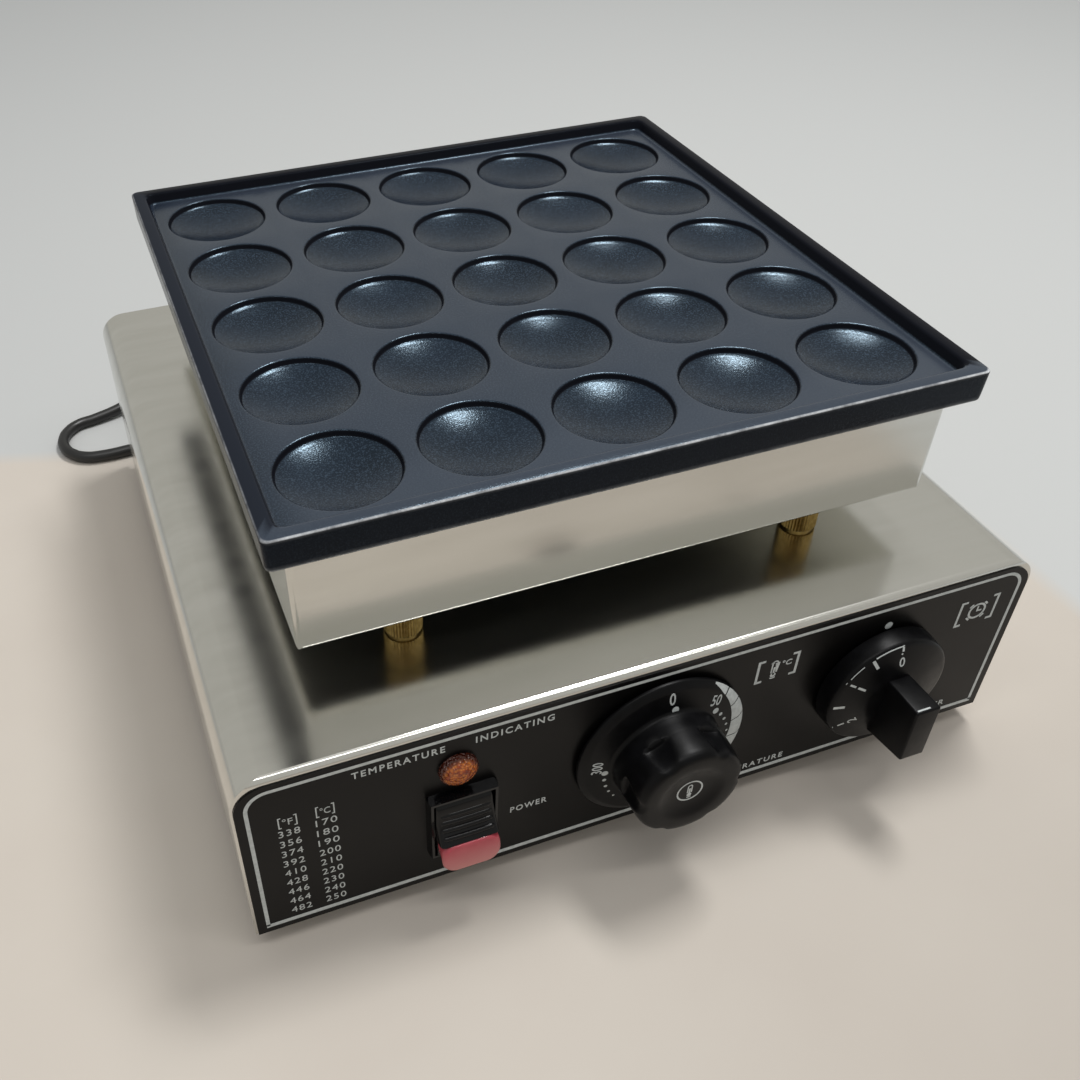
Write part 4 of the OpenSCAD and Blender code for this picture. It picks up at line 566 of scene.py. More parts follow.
# Painted sheen on the tray's floor margin and the rim's front top, and a little on its left
mark(rim_mesh, "wiped_flat", [
    float(k < 2) or (4 < k < 10) * (1.0 if y < -TOP_HALF else 0.3 if x < -TOP_HALF else 0.0)
    for k, loop in enumerate(loops) for x, y, z in loop])
print("rim", len(rim_mesh.polygons), "faces")

# %% [markdown]
# ## A tree that repeats a shape
# The plate's dishes and, later, the screws and ribs are all one shape on many points. These helpers start a
# Geometry Nodes tree with named inputs for sizes, put a shape on points, and end the tree. The last two bake the
# evaluated result to a plain mesh, which the export and the joints need.

# %% Tree helpers
KINDS = {float: "NodeSocketFloat", int: "NodeSocketInt", bpy.types.Object: "NodeSocketObject",
         bpy.types.Material: "NodeSocketMaterial"}


def tree_with(name, **sizes):
    """A Geometry Nodes tree with a geometry input and one named input for each size."""
    made = bpy.data.node_groups.new(name, "GeometryNodeTree")
    made.interface.new_socket("Geometry", in_out="INPUT", socket_type="NodeSocketGeometry")
    made.interface.new_socket("Geometry", in_out="OUTPUT", socket_type="NodeSocketGeometry")
    for label, value in sizes.items():
        kind = next(text for base, text in KINDS.items() if isinstance(value, base))
        made.interface.new_socket(label, in_out="INPUT", socket_type=kind)
    return made, add(made, "NodeGroupInput").outputs, add(made, "NodeGroupOutput")


def instances(tree, shape, points, **more):
    """One object's shape on each point."""
    info = add(tree, "GeometryNodeObjectInfo", {"Object": shape})
    return add(tree, "GeometryNodeInstanceOnPoints", {
        "Points": points, "Instance": info.outputs["Geometry"], **more}).outputs["Instances"]


def end_tree(tree, out, shapes, material, sewing=None):
    """The end of a tree: shapes joined, made real, sewn if asked, and given their material."""
    joined = add(tree, "GeometryNodeJoinGeometry")
    for shape in shapes:
        tree.links.new(shape, joined.inputs[0])
    real = add(tree, "GeometryNodeRealizeInstances", {"Geometry": joined.outputs[0]})
    if sewing is not None:
        real = add(tree, "GeometryNodeMergeByDistance", {"Geometry": real.outputs[0], "Distance": sewing})
    worn = add(tree, "GeometryNodeSetMaterial", {"Geometry": real.outputs[0], "Material": material})
    tree.links.new(worn.outputs[0], out.inputs[0])


def plain_mesh(host):
    """The evaluated mesh of an object, which is then removed."""
    bpy.context.view_layer.update()
    made = bpy.data.meshes.new_from_object(host.evaluated_get(bpy.context.evaluated_depsgraph_get()))
    bpy.data.objects.remove(host)
    return made


def grown(mesh, tree, **sizes):
    """The mesh that a tree gives from a starting mesh and its sizes, as a plain mesh."""
    host = linked(mesh.name, mesh)
    modifier = host.modifiers.new(tree.name, "NODES")
    modifier.node_group = tree
    for item in tree.interface.items_tree:
        if item.in_out == "INPUT" and item.name in sizes:
            modifier[item.identifier] = sizes[item.name]
    return plain_mesh(host)


print("tree helpers ready")

# %% Plate from cell and rim
sizes = {"Cell": dish_cell, "Dishes": DISHES, "Pitch": PITCH * MM, "Sewing": 0.02 * MM, "Coat": coat}
tree, given, out = tree_with("dished_plate", **sizes)
span = add(tree, "ShaderNodeMath", {0: given["Dishes"], 1: 1.0}, operation="SUBTRACT")
side = add(tree, "ShaderNodeMath", {0: span.outputs[0], 1: given["Pitch"]}, operation="MULTIPLY")
spots = add(tree, "GeometryNodeMeshGrid", {"Size X": side.outputs[0], "Size Y": side.outputs[0],
                                           "Vertices X": given["Dishes"], "Vertices Y": given["Dishes"]})
cells = instances(tree, given["Cell"], spots.outputs["Mesh"])
end_tree(tree, out, [cells, given["Geometry"]], given["Coat"], given["Sewing"])
plate_mesh = grown(rim_mesh, tree, **sizes)
plate_mesh.name = "dished_plate"
# Painted sheen: the flats are paler most along the front and least along the left side
for spot, point in zip(plate_mesh.attributes["wiped_flat"].data, plate_mesh.vertices):
    x, y, z = point.co / MM
    if z < 0.2:
        spot.value *= np.interp(y, (-126, -112, -100, 100), (1.0, 0.95, 0.72, 0.6))
        spot.value *= np.interp(x, (-125, -112), (0.3, 1.0))
plate_mesh.transform(Matrix.Translation(plate_mid * MM))
bpy.data.objects.remove(dish_cell)
piece(plate_mesh, "machine", coat, ["grill_plate"])
print("plate", len(plate_mesh.polygons), "faces")

# %% [markdown]
# ## Thermostat knob
# The knob is one moulding: a printed skirt, a round neck, and a grip with six scallops for the fingers. They
# start at a shoulder and run out towards the front. Each ring of its skin is a circle, and the scallops push
# the grip's rings inwards where six cutting circles would reach them.

# %% Thermostat knob
PANEL_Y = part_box("control_overlay")[0].y / MM
thermostat_at = Vector(joints["thermostat_turn"]["pos_m"]) / MM
timer_at = Vector(joints["timer_turn"]["pos_m"]) / MM


def on_axis(at, x, depth, z):
    """A point by its place across a dial's axis and its reach in front of the panel."""
    return Vector((at.x + x, PANEL_Y - depth, at.z + z))


FLUTES, FLUTE_R, GRIP_R = 6, 9.0, 21.75
# Radius, reach in front of the panel, and depth of the scallops
KNOB = [(31.5, 3.4, 0), (31.5, 1.2, 0), (34.1, 1.2, 0), (34.5, 1.5, 0), (34.5, 2.3, 0), (34.3, 2.75, 0),
        (33.6, 3.15, 0), (32.2, 3.95, 0), (31.6, 4.22, 0), (31.0, 4.32, 0), (27.0, 4.88, 0), (23.4, 5.4, 0),
        (22.5, 5.6, 0), (21.95, 6.2, 0), (21.8, 7.2, 0), (21.75, 10.0, 0), (21.75, 12.8, 0), (21.72, 13.4, 0.5),
        (21.7, 13.75, 1.6), (21.7, 14.1, 2.3), (21.68, 14.8, 2.42), (21.6, 17.0, 2.1), (21.5, 19.5, 1.75),
        (21.35, 22.0, 1.4), (21.2, 23.2, 1.2), (20.9, 24.2, 1.05), (20.4, 25.0, 0.9), (19.7, 25.6, 0.7),
        (18.8, 25.9, 0.45), (17.6, 26.0, 0.2), (15.6, 26.0, 0), (14.0, 25.95, 0), (13.0, 25.8, 0), (12.0, 25.5, 0),
        (10.4, 24.95, 0), (8.0, 24.5, 0), (5.0, 24.3, 0)]
COUNT, KNOB_HOLLOW = 192, 24.2


def scalloped(radius, deep, turn):
    """A grip radius after the scallops: a soft smallest of the round and the nearest cutting circle."""
    middle = GRIP_R + FLUTE_R - deep
    off = (turn + math.pi / FLUTES) % (2 * math.pi / FLUTES) - math.pi / FLUTES
    inside = FLUTE_R ** 2 - (middle * math.sin(off)) ** 2
    if not deep or inside <= 0:
        return radius
    cut = middle * math.cos(off) - math.sqrt(inside) - (GRIP_R - radius)
    soft = 0.4
    blend = max(0, soft - abs(cut - radius)) / soft
    return min(cut, radius) - blend * blend * soft / 4


rows = []
for radius, depth, deep in KNOB:
    row = []
    for i in range(COUNT):
        turn = 2 * math.pi * i / COUNT
        r = scalloped(radius, deep, turn + math.pi / FLUTES)
        row.append(on_axis(thermostat_at, r * math.sin(turn), depth, r * math.cos(turn)))
    rows.append(row)
rows.append([on_axis(thermostat_at, 0, KNOB_HOLLOW, 0)])
dial = skin(rows)
thermostat_dial = piece(to_mesh(dial, "thermostat_dial_knob", 50), "thermostat_dial", black_satin,
                        ["thermostat_knob", "thermostat_cap"])
print("thermostat knob", len(thermostat_dial.data.polygons), "faces")

# %% [markdown]
# ## Timer knob
# The timer's knob is a round skirt with a low cone for its face and a bar that tapers towards its front. The
# bar is a block of eight corners with its edges rounded by a bevel, sunk into the skirt.

# %% Timer knob
# Radius and reach in front of the panel
SKIRT = [(24.3, 2.4), (24.3, 1.2), (26.4, 1.2), (26.75, 1.5), (26.6, 5.0), (26.45, 7.8), (26.3, 8.5), (25.9, 9.15),
         (25.3, 9.5), (24.0, 9.85), (13.0, 12.5), (11.0, 12.75)]
SKIRT_TOP, BAR_ROUND = 12.8, 0.9
rows = [[on_axis(timer_at, r * math.sin(turn), d, r * math.cos(turn))
         for turn in np.linspace(0, 2 * math.pi, 128, endpoint=False)] for r, d in SKIRT]
skirt = skin([*rows, [on_axis(timer_at, 0, SKIRT_TOP, 0)]])
# Reach in front of the panel, then left, right, lower and upper side, at the bar's root and its front
BAR = [(9.0, -5.0, 5.0, -20.5, 10.7), (30.5, -5.5, 5.5, -16.0, 11.1)]
block = skin([[on_axis(timer_at, x0, d, z0), on_axis(timer_at, x1, d, z0), on_axis(timer_at, x1, d, z1),
               on_axis(timer_at, x0, d, z1)] for d, x0, x1, z0, z1 in BAR])
bmesh.ops.bevel(block, geom=block.edges[:], offset=BAR_ROUND * MM, segments=4, profile=0.5, affect="EDGES")
take_in(skirt, block)
timer_dial = piece(to_mesh(skirt, "timer_dial_knob", 50), "timer_dial", black_satin, ["timer_knob"])
print("timer knob", len(timer_dial.data.polygons), "faces")

# %% [markdown]
# ## Printing
# The words, numbers and lines are screen printed, so they are very thin raised shapes. Letters come from a text
# curve that is stretched to its measured width and height. Lines, dots and arcs are outlines. A last step lays
# the flat print on its surface: the panel is flat, and the thermostat's skirt is a low cone.

# %% Print helpers
INK_LIFT, INK_T = 0.03, 0.05


def letters(text, left, middle, width, height, turn=0.0, heavy=0.0, spacing=1.0, centred=False):
    """Flat letters of a given width and height in millimetres, as (points, faces)."""
    curve = bpy.data.curves.new("letters", "FONT")
    curve.body = text
    curve.space_character = spacing
    curve.offset = heavy
    curve.resolution_u = 3
    mesh = plain_mesh(linked("letters", curve))
    flat = np.array([v.co[:2] for v in mesh.vertices])
    faces = [tuple(p.vertices) for p in mesh.polygons]
    bpy.data.meshes.remove(mesh)
    low, high = flat.min(0), flat.max(0)
    flat = (flat - (low + high) / 2) / (high - low) * (width, height)
    c, s = math.cos(turn), math.sin(turn)
    flat = flat @ np.array([[c, s], [-s, c]])
    return flat + (left if centred else left + width / 2, middle), faces


def outline(points):
    """A flat outline as (points, faces)."""
    return np.array(points, float), [tuple(range(len(points)))]


def stroke(points, width):
    """A line of a given width through points, with square ends and mitred corners."""
    points = [Vector(p) for p in points]
    left, right = [], []
    for i, p in enumerate(points):
        before = (p - points[i - 1]).normalized() if i else None
        after = (points[i + 1] - p).normalized() if i + 1 < len(points) else None
        way = (before or after) + (after or before)
        way.normalize()
        reach = width / 2 / max(0.3, way.dot(before or after))
        aside = Vector((-way.y, way.x)) * reach
        left.append(p + aside)
        right.append(p - aside)
    count = len(points)
    return np.array([tuple(p) for p in left + right]), [
        (i, i + 1, count + i + 1, count + i) for i in range(count - 1)]


def arc(radius, start, stop, steps=24, middle=(0, 0)):
    """Points on a circle between two bearings, clockwise from the top, in degrees."""
    bearings = [math.radians(start + (stop - start) * i / steps) for i in range(steps + 1)]
    return [(middle[0] + radius * math.sin(b), middle[1] + radius * math.cos(b)) for b in bearings]


def dot(x, y, radius):
    """A round dot."""
    return outline(arc(radius, 360, 0, 20, (x, y))[:-1])


def printed(name, shapes, body, lay):
    """Thin closed prints laid on a surface: lay turns a flat point and a lift into a place."""
    made = bmesh.new()
    for flat, faces in shapes:
        low = [made.verts.new(lay(x, y, INK_LIFT) * MM) for x, y in flat]
        high = [made.verts.new(lay(x, y, INK_LIFT + INK_T) * MM) for x, y in flat]
        borders = {}
        for face in faces:
            made.faces.new([high[i] for i in face])
            made.faces.new([low[i] for i in reversed(face)])
            for a, b in zip(face, face[1:] + face[:1]):
                if (b, a) in borders:
                    del borders[b, a]
                else:
                    borders[a, b] = True
        for a, b in borders:
            made.faces.new([low[a], low[b], high[b], high[a]])
    bmesh.ops.remove_doubles(made, verts=made.verts, dist=1e-8)
    bmesh.ops.recalc_face_normals(made, faces=made.faces)
    mesh = bpy.data.meshes.new(name)
    made.to_mesh(mesh)
    made.free()
    return piece(mesh, body, ink)


def on_panel(x, z, lift):
    """A place on the panel, lifted off it."""
    return Vector((x, PANEL_Y - lift, z))


print("print helpers ready")

# %% Panel print
def bracketed(x, z, width, height, flange, line):
    """Two square brackets round a sign."""
    half, rise = width / 2, height / 2
    return [stroke([(x + side * reach, z + up) for reach, up in (
        (half - flange, rise), (half, rise), (half, -rise), (half - flange, -rise))], line) for side in (-1, 1)]


frame_line = [(-155.0, 13.8), (-155.0, 81.6), *arc(8, -80, -10, 7, (-147.0, 81.6)), (-147.0, 89.6), (147.0, 89.6),
              *arc(8, 10, 80, 7, (147.0, 81.6)), (155.0, 81.6), (155.0, 13.8)]
shapes = [stroke(frame_line, 1.4), stroke([(-155.7, 13.8), (155.7, 13.8)], 1.9)]
ROWS, ROW_TOP, ROW_STEP = 9, 65.4, 5.775
for x, unit, first, step in ((-142, "°F", 338, 18), (-129, "°C", 170, 10)):
    shapes += [letters(str(first + step * row), x, ROW_TOP - ROW_STEP * row, 7.6, 3.5, centred=True, spacing=1.15)
               for row in range(ROWS)]
    shapes.append(letters(unit, x, 71.5, 3.6, 3.4, centred=True))
    shapes += bracketed(x, 71.5, 6.2, 5.4, 0.9, 0.45)
for word, left, middle, width, height, spacing in (
        ("TEMPERATURE", -118.9, 85, 33.1, 3.3, 1.3), ("INDICATING", -74.6, 85, 29.4, 3.3, 1.3),
        ("POWER", -60.6, 38.3, 14.8, 3.2, 1.25), ("TEMPERATURE", 26.4, 18.0, 34.3, 3.1, 1.3),
        ("TIMER", 125, 18.3, 15.6, 3.1, 1.3)):
    shapes.append(letters(word, left, middle, width, height, heavy=0.016, spacing=spacing))
shapes.append(dot(timer_at.x - 0.5, 80.3, 1.75))
panel_print = printed("panel_print", shapes, "machine", on_panel)
print("panel print", len(panel_print.data.polygons), "faces")

# %% Panel signs
shapes = bracketed(46.4, 75, 17.0, 11.0, 2.6, 1.1)
tube = [(44.0, 72.9), (44.0, 78.0), *arc(1.1, -90, 90, 8, (45.1, 78.0)), (46.2, 78.0), (46.2, 72.9)]
BULB_AT = (45.1, 71.6)
shapes += [stroke(tube, 0.6), stroke(arc(1.75, 140, 220, 20, BULB_AT), 0.6), dot(*BULB_AT, 1.2),
           stroke([BULB_AT, (45.1, 75.8)], 0.8), letters("°C", 48.2, 76.6, 4.2, 3.0, heavy=0.02)]
CLOCK_AT = (138, 73.2)
shapes += bracketed(138, 73.4, 17.4, 12.4, 2.6, 1.1)
shapes += [stroke(arc(3.7, 0, 360, 40, CLOCK_AT), 0.95), stroke([(138, 75.8), CLOCK_AT, (140.2, 73.2)], 0.75)]
shapes += [stroke(arc(4.9, b - 12, b + 12, 4, CLOCK_AT), 0.9) for b in (-45, 45, 135, 225)]
panel_signs = printed("panel_signs", shapes, "machine", on_panel)
print("signs", len(panel_signs.data.polygons), "faces")

# %% [markdown]
# ## Printing on the dials
# The thermostat's skirt carries 0, 50 and 300 with dots that shrink as they go round, and a pale wedge whose
# width grows with the heat. The timer's skirt has a scale line with strokes and numbers.

# %% Thermostat print
def lay_on(at, profile):
    """A laying function for a dial: flat points about its axis, lifted off its profile."""
    radii, depths = zip(*sorted(profile))

    def lay(x, z, lift):
        return on_axis(at, x, float(np.interp(math.hypot(x, z), radii, depths)) + lift, z)
    return lay


def polar(bearing, radius):
    """A flat point by its bearing in degrees and its distance from the axis."""
    return radius * math.sin(math.radians(bearing)), radius * math.cos(math.radians(bearing))


def polar_dot(bearing, radius, size):
    """A dot by its bearing and distance from the axis."""
    return dot(*polar(bearing, radius), size)


def round_the_dial(text, bearing, radius, width, height, lean=None):
    """Letters with their feet towards the axis, or leaning by their own angle."""
    turn = -math.radians(bearing if lean is None else lean)
    return letters(text, *polar(bearing, radius), width, height, turn=turn, centred=True, heavy=0.01)


skirt_face = [(r, d) for r, d, deep in KNOB[4:13]]
shapes = [round_the_dial("0", 0, 28.5, 2.5, 5.6), polar_dot(3.5, 23.2, 1.4)]
shapes += [round_the_dial("50", 43, 28.0, 4.4, 5.0, lean=14), round_the_dial("300", 273, 27.6, 6.4, 4.2)]
for first, step in ((52, 9), (265, -9.5)):
    shapes.append(polar_dot(first, 24.5, 1.3))
    shapes += [polar_dot(first + step * k, 24.6 + 0.45 * k, 0.85 - 0.09 * k) for k in range(1, 5)]
# The wedge's outer radius, then its bearings and the inner radius at each
WEDGE_R = 34.25
WEDGE = (33, 44, 63, 78, 95, 113), (33.6, 31.6, 29.7, 28.3, 27.3, 26.8)
for low, high in ((33, 46.4), (47.6, 61.5), (62.5, 78.5), (79.5, 96.5), (97.5, 113)):
    bearings = np.radians(np.linspace(low, high, 9))
    inner = np.interp(np.degrees(bearings), *WEDGE)
    band = [(r * math.sin(b), r * math.cos(b)) for k in range(7)
            for b, r in zip(bearings, WEDGE_R + (inner - WEDGE_R) * k / 6)]
    shapes.append((np.array(band), [(i, i + 9, i + 10, i + 1) for k in range(6) for i in range(9 * k, 9 * k + 8)]))
thermostat_print = printed("thermostat_print", shapes, "thermostat_dial", lay_on(thermostat_at, skirt_face))
end_face = [(r, d) for r, d, deep in KNOB[30:]] + [(0, KNOB_HOLLOW)]
shapes = [stroke(arc(5.0, 0, 360, 48), 0.65)]
tube = [(-0.8, -1.2), (-0.8, 2.3), *arc(0.8, -90, 90, 8, (0, 2.3))[1:-1], (0.8, 2.3), (0.8, -1.2)]
shapes += [stroke(tube, 0.5), stroke(arc(1.4, 145, 215, 20, (0, -2.3)), 0.5), dot(0, -2.3, 0.95),
           stroke([(0, -2.3), (0, 1.2)], 0.7)]
printed("cap_print", shapes, "thermostat_dial", lay_on(thermostat_at, end_face))
print("thermostat print", len(thermostat_print.data.polygons), "faces")

# %% Timer print
skirt_face = SKIRT[4:] + [(0, SKIRT_TOP)]
shapes = [round_the_dial("0", 0, 18.3, 2.5, 4.2), polar_dot(-1, 22.0, 0.4), stroke([(0, 23.0), (0, 25.6)], 0.9),
          stroke(arc(25.3, 0, -27, 16), 0.45), stroke(arc(25.3, -39, -55, 10), 0.3)]
for k in range(1, 5):
    low, high, line = (20.6, 25.0, 1.3) if k % 2 else (21.0, 25.6, 0.9)
    shapes.append(stroke([polar(-30 * k, low), polar(-30 * k, high)], line))
    if k % 2 == 0:
        shapes.append(round_the_dial(str(k // 2), -30 * k, 18.0, 1.0 if k == 2 else 2.4, 3.6))
timer_print = printed("timer_print", shapes, "timer_dial", lay_on(timer_at, skirt_face))


def on_bar(x, d, lift):
    """A place on the bar's upper side, by its reach in front of the panel."""
    share = (d - BAR[0][0]) / (BAR[1][0] - BAR[0][0])
    return on_axis(timer_at, x, d, BAR[0][4] + share * (BAR[1][4] - BAR[0][4]) + lift)


# Painted highlight: a pale dash along the front of the bar's upper side, drawn as print
printed("bar_mark", [stroke([(-4.4, 29.2), (1.2, 29.2)], 0.7)], "timer_dial", on_bar)
print("timer print", len(timer_print.data.polygons), "faces")

# %% [markdown]
# ## Rocker of the switch
# The rocker is a moulded cap that scoops down from its lens to its upper end, with ribs for the finger across the
# scoop. It is drawn level, as rings across it from end to end, and then tilted about its pivot. The ribs follow a
# rule, so Geometry Nodes place them: evenly along the rocker, each at the scoop's own height.

# %% Rocker cap
pivot = Vector(joints["rocker_tilt"]["pos_m"]) / MM
TILT = math.radians(8)
FACE, LENS_TOP, SCOOP_END, SCOOP_FALL, HALF_W = 10.0, -4.1, 7.8, 4.29, 11.25
UNDER, FOOT_TOP, PIN_R, PIN_DEEP = 3.3, 4.6, 2, 3
# Level frame to the machine: y runs up along the rocker and z out of the panel, from a pivot inside it
level_to_machine = (Matrix.Translation(pivot * MM) @ Matrix.Rotation(math.radians(90) - TILT, 4, "X")
                    @ Matrix.Translation((0, 0, PIN_DEEP * MM)))


def scoop(y):
    """Height of the black face along the rocker."""
    return FACE - SCOOP_FALL * (1 - (1 - (y - LENS_TOP) / (SCOOP_END - LENS_TOP)) ** 2)


def across_ring(y, high, low, half, round_by):
    """A section across the rocker with rounded shoulders and a slight crown."""
    points = [(half, low), (half, high - round_by)]
    for k in range(1, 7):
        turn = math.radians(15 * k)
        points.append((half - round_by + round_by * math.cos(turn), high - round_by + round_by * math.sin(turn)))
    points = [(x, h - 0.35 * (x / half) ** 4) for x, h in points]
    return [(x, y, h) for x, h in points] + [(-x, y, h) for x, h in reversed(points)]


# Place along the rocker, top, bottom, half-width and rounding of each section
SECTIONS = [(y, scoop(y), UNDER, HALF_W, 1.6) for y in np.linspace(LENS_TOP, SCOOP_END, 13)]
SECTIONS += [(10.0, 5.5, UNDER, HALF_W, 1.5), (11.4, 5.0, UNDER, HALF_W - 0.1, 1.1),
             (12.3, 4.4, UNDER, HALF_W - 0.3, 0.7), (12.8, 3.8, UNDER, HALF_W - 0.6, 0.3)]


def slab(half, low, high, bottom, top):
    """A plain block across the rocker."""
    return skin([[(x, y, h) for x, y in ((-half, low), (half, low), (half, high), (-half, high))]
                 for h in (bottom, top)])


cap = skin([across_ring(*row) for row in SECTIONS])
foot = slab(HALF_W, -12.9, LENS_TOP, UNDER, FOOT_TOP)
core = slab(8.8, -6, 6, -8, FOOT_TOP)
pin = skin([[(x, PIN_R * math.cos(a), PIN_R * math.sin(a) - PIN_DEEP)
             for a in np.linspace(0, 2 * math.pi, 32, endpoint=False)] for x in (-10.5, 10.5)])
for part in (foot, core, pin):
    take_in(cap, part)
cap_mesh = to_mesh(cap, "rocker_cap", 45)
print("cap", len(cap_mesh.polygons), "faces")

# %% Ribs on the rocker
RIB_R, RIB_HALF = 1.2, 9.7
RIB_END = [(9.7, 0.7), (9.5, 1.0), (9.1, 1.15), (8.4, RIB_R), (5, RIB_R), (2.5, RIB_R)]
RIB_ROWS = [(-x, r) for x, r in RIB_END] + [(0, RIB_R)] + RIB_END[::-1]
rows = [[(x, r * math.sin(a), r * math.cos(a) - 0.28 * (x / RIB_HALF) ** 2)
         for a in np.linspace(0, 2 * math.pi, 32, endpoint=False)] for x, r in RIB_ROWS]
rib = linked("rib", to_mesh(skin(rows), "rib", 60))
sizes = {"Rib": rib, "Ribs": 4, "First": -1.9 * MM, "Pitch": 2.9 * MM, "Top": (FACE + 0.45 - RIB_R) * MM,
         "Fall": SCOOP_FALL * MM, "Start": LENS_TOP * MM, "Length": (SCOOP_END - LENS_TOP) * MM,
         "Plastic": black_gloss}
tree, given, out = tree_with("ribs_on_a_scoop", **sizes)


def figured(kind, first, second=0.0):
    """One sum in the tree of the ribs."""
    return add(tree, "ShaderNodeMath", {0: first, 1: second}, operation=kind).outputs[0]


index = add(tree, "GeometryNodeInputIndex").outputs[0]
along = figured("ADD", figured("MULTIPLY", index, given["Pitch"]), given["First"])
rest = figured("SUBTRACT", 1.0, figured("DIVIDE", figured("SUBTRACT", along, given["Start"]), given["Length"]))
drop = figured("MULTIPLY", given["Fall"], figured("SUBTRACT", 1.0, figured("MULTIPLY", rest, rest)))
height = figured("SUBTRACT", given["Top"], drop)
spots = add(tree, "GeometryNodePoints", {
    "Count": given["Ribs"], "Position": add(tree, "ShaderNodeCombineXYZ", {"Y": along, "Z": height}).outputs[0]})
ribs = instances(tree, given["Rib"], spots.outputs[0])
end_tree(tree, out, [ribs, given["Geometry"]], given["Plastic"])
ribbed = grown(cap_mesh, tree, **sizes)
ribbed.name = "ribbed_rocker"
ribbed.transform(level_to_machine)
bpy.data.objects.remove(rib)
piece(ribbed, "rocker", black_gloss, ["rocker_button"])
print("rocker", len(ribbed.polygons), "faces")

# %% [markdown]
# ## Lenses
# The rocker's lower end is a red lens that flares forwards, and the lamp is an amber cap pressed full of small
# prisms. Both are clear plastic over a hollow, so they are drawn as coloured gloss with painted light: the red one
# is painted paler towards its lower edge, where light comes through it, and the amber one's prisms are cells that
# tilt its surface and are painted brighter in their middles, with painted shade round its edge.

# %% Red lens
# Height, lower and upper end, half-width and corner radius of each level of the lens
LEVELS = [(4.75, -13.05, -4.1, 11.0, 3.0), (6.6, -13.2, -4.1, 11.1, 3.4), (7.8, -13.7, -4.1, 11.2, 3.8),
          (8.6, -15.2, -4.1, 11.25, 4.4), (9.1, -16.4, -4.1, 11.25, 4.9), (9.45, -16.75, -4.12, 11.15, 5.2),
          (9.8, -16.75, -4.18, 10.95, 5.3), (10.1, -16.55, -4.3, 10.65, 5.2), (10.33, -16.2, -4.5, 10.25, 5.0),
          (10.45, -15.7, -4.8, 9.8, 4.7), (10.49, -15.0, -5.3, 9.2, 4.2), (10.5, -14.0, -6.2, 8.2, 3.4)]
rows = []
for h, low, high, half, corner in LEVELS:
    row = []
    for side, end, start in ((1, high, 0), (-1, high, 90), (-1, low, 180), (1, low, 270)):
        inner = end - math.copysign(corner, end - (low + high) / 2)
        row += [(side * (half - corner) + corner * math.cos(math.radians(start + 11.25 * k)),
                 inner + corner * math.sin(math.radians(start + 11.25 * k)), h) for k in range(9)]
    rows.append(row)
lens_mesh = to_mesh(skin(rows), "flared_lens", 50)
lens_mesh.transform(level_to_machine)
# Tinted acrylic: pinkish red and glossy, with painted light that makes it paler towards the lower edge
red_lens = finish("acrylic_moulded_red", ("#a83f4a", "#b34c55"), 9, (0.08, 0.14), 0.6, 0.003, IOR=1.49)
tree, shader, place, shade = opened(red_lens)
height = add(tree, "ShaderNodeSeparateXYZ", {"Vector": place}).outputs["Z"]
FULL_RED_Z, LIT_PALE_Z = 41, 29
# Painted light: paler towards the lower edge, where light comes through the lens
shade = mixed(tree, ranged(tree, height, FULL_RED_Z * MM, LIT_PALE_Z * MM, 0.0, 0.75), shade, linear("#c08a82"))
tree.links.new(shade, shader.inputs["Base Color"])
piece(lens_mesh, "rocker", red_lens, ["rocker_lens"])
print("lens", len(lens_mesh.polygons), "faces")

# %% Amber lamp
# Amber acrylic with small pressed prisms, with painted light in each prism's middle and painted shade round its
# edge
PRISM, PRISM_DEEP, EDGE_FROM, EDGE_TO = 1.1, 0.9, 5.8, 7.4
amber = finish("acrylic_pressed_amber", ("#6c220d", "#9c4417"), 1.6, (0.08, 0.16), IOR=1.49)
tree, shader, place, shade = opened(amber)
lamp_low, lamp_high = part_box("lamp_lens")
middle = Vector(((lamp_low.x + lamp_high.x) / 2, lamp_low.y, (lamp_low.z + lamp_high.z) / 2))
prisms = add(tree, "ShaderNodeTexVoronoi", {"Vector": place, "Scale": 1 / (PRISM * MM)}).outputs["Distance"]
bump = add(tree, "ShaderNodeBump", {"Height": prisms, "Distance": PRISM_DEEP * MM})
tree.links.new(bump.outputs["Normal"], shader.inputs["Normal"])
# Painted light: each prism is a brighter orange in its middle
shade = mixed(tree, ranged(tree, prisms, 0.15, 0.75), linear("#c8742e"), shade)
# Painted shade: darker round the lamp's edge
away = add(tree, "ShaderNodeVectorMath", {0: place, 1: middle}, operation="DISTANCE").outputs["Value"]
shade = mixed(tree, ranged(tree, away, EDGE_FROM * MM, EDGE_TO * MM), shade, linear("#43190c"))
tree.links.new(shade, shader.inputs["Base Color"])
nodes["lamp_lens"].data.materials.clear()
nodes["lamp_lens"].data.materials.append(amber)
print("lamp ready")

# %% [markdown]
# ## Cover screws
# The back panel and the bottom plate are held by pan-head screws with a cross recess. One screw is a skin of
# rings: shank, head, dome, then a ring that follows the outline of the cross and goes down its walls. Geometry
# Nodes put one on each screw's place in the CAD model, each turned as the driver left it.

# %% One screw
HEAD_R, HEAD_H, SHANK_R, SHANK, ARM, RECESS = 3.5, 2.0, 1.75, 6.6, 2.1, 1.1


def cross_ring(reach, height, count=96):
    """A ring along the outline of a cross whose arms end at a reach. Its corners lie on the ring's bearings."""
    points = []
    for i in range(count):
        turn = 2 * math.pi * i / count
        c, s = sorted((abs(math.cos(turn)), abs(math.sin(turn))))
        width = reach * math.tan(math.radians(15))
        r = min(reach / s, width / c if c > 1e-9 else math.inf)
        points.append((r * math.cos(turn), r * math.sin(turn), height))
    return points


def dome(r):
    """Depth of the head's face at a radius."""
    return -HEAD_H + 0.55 * (r / HEAD_R) ** 4


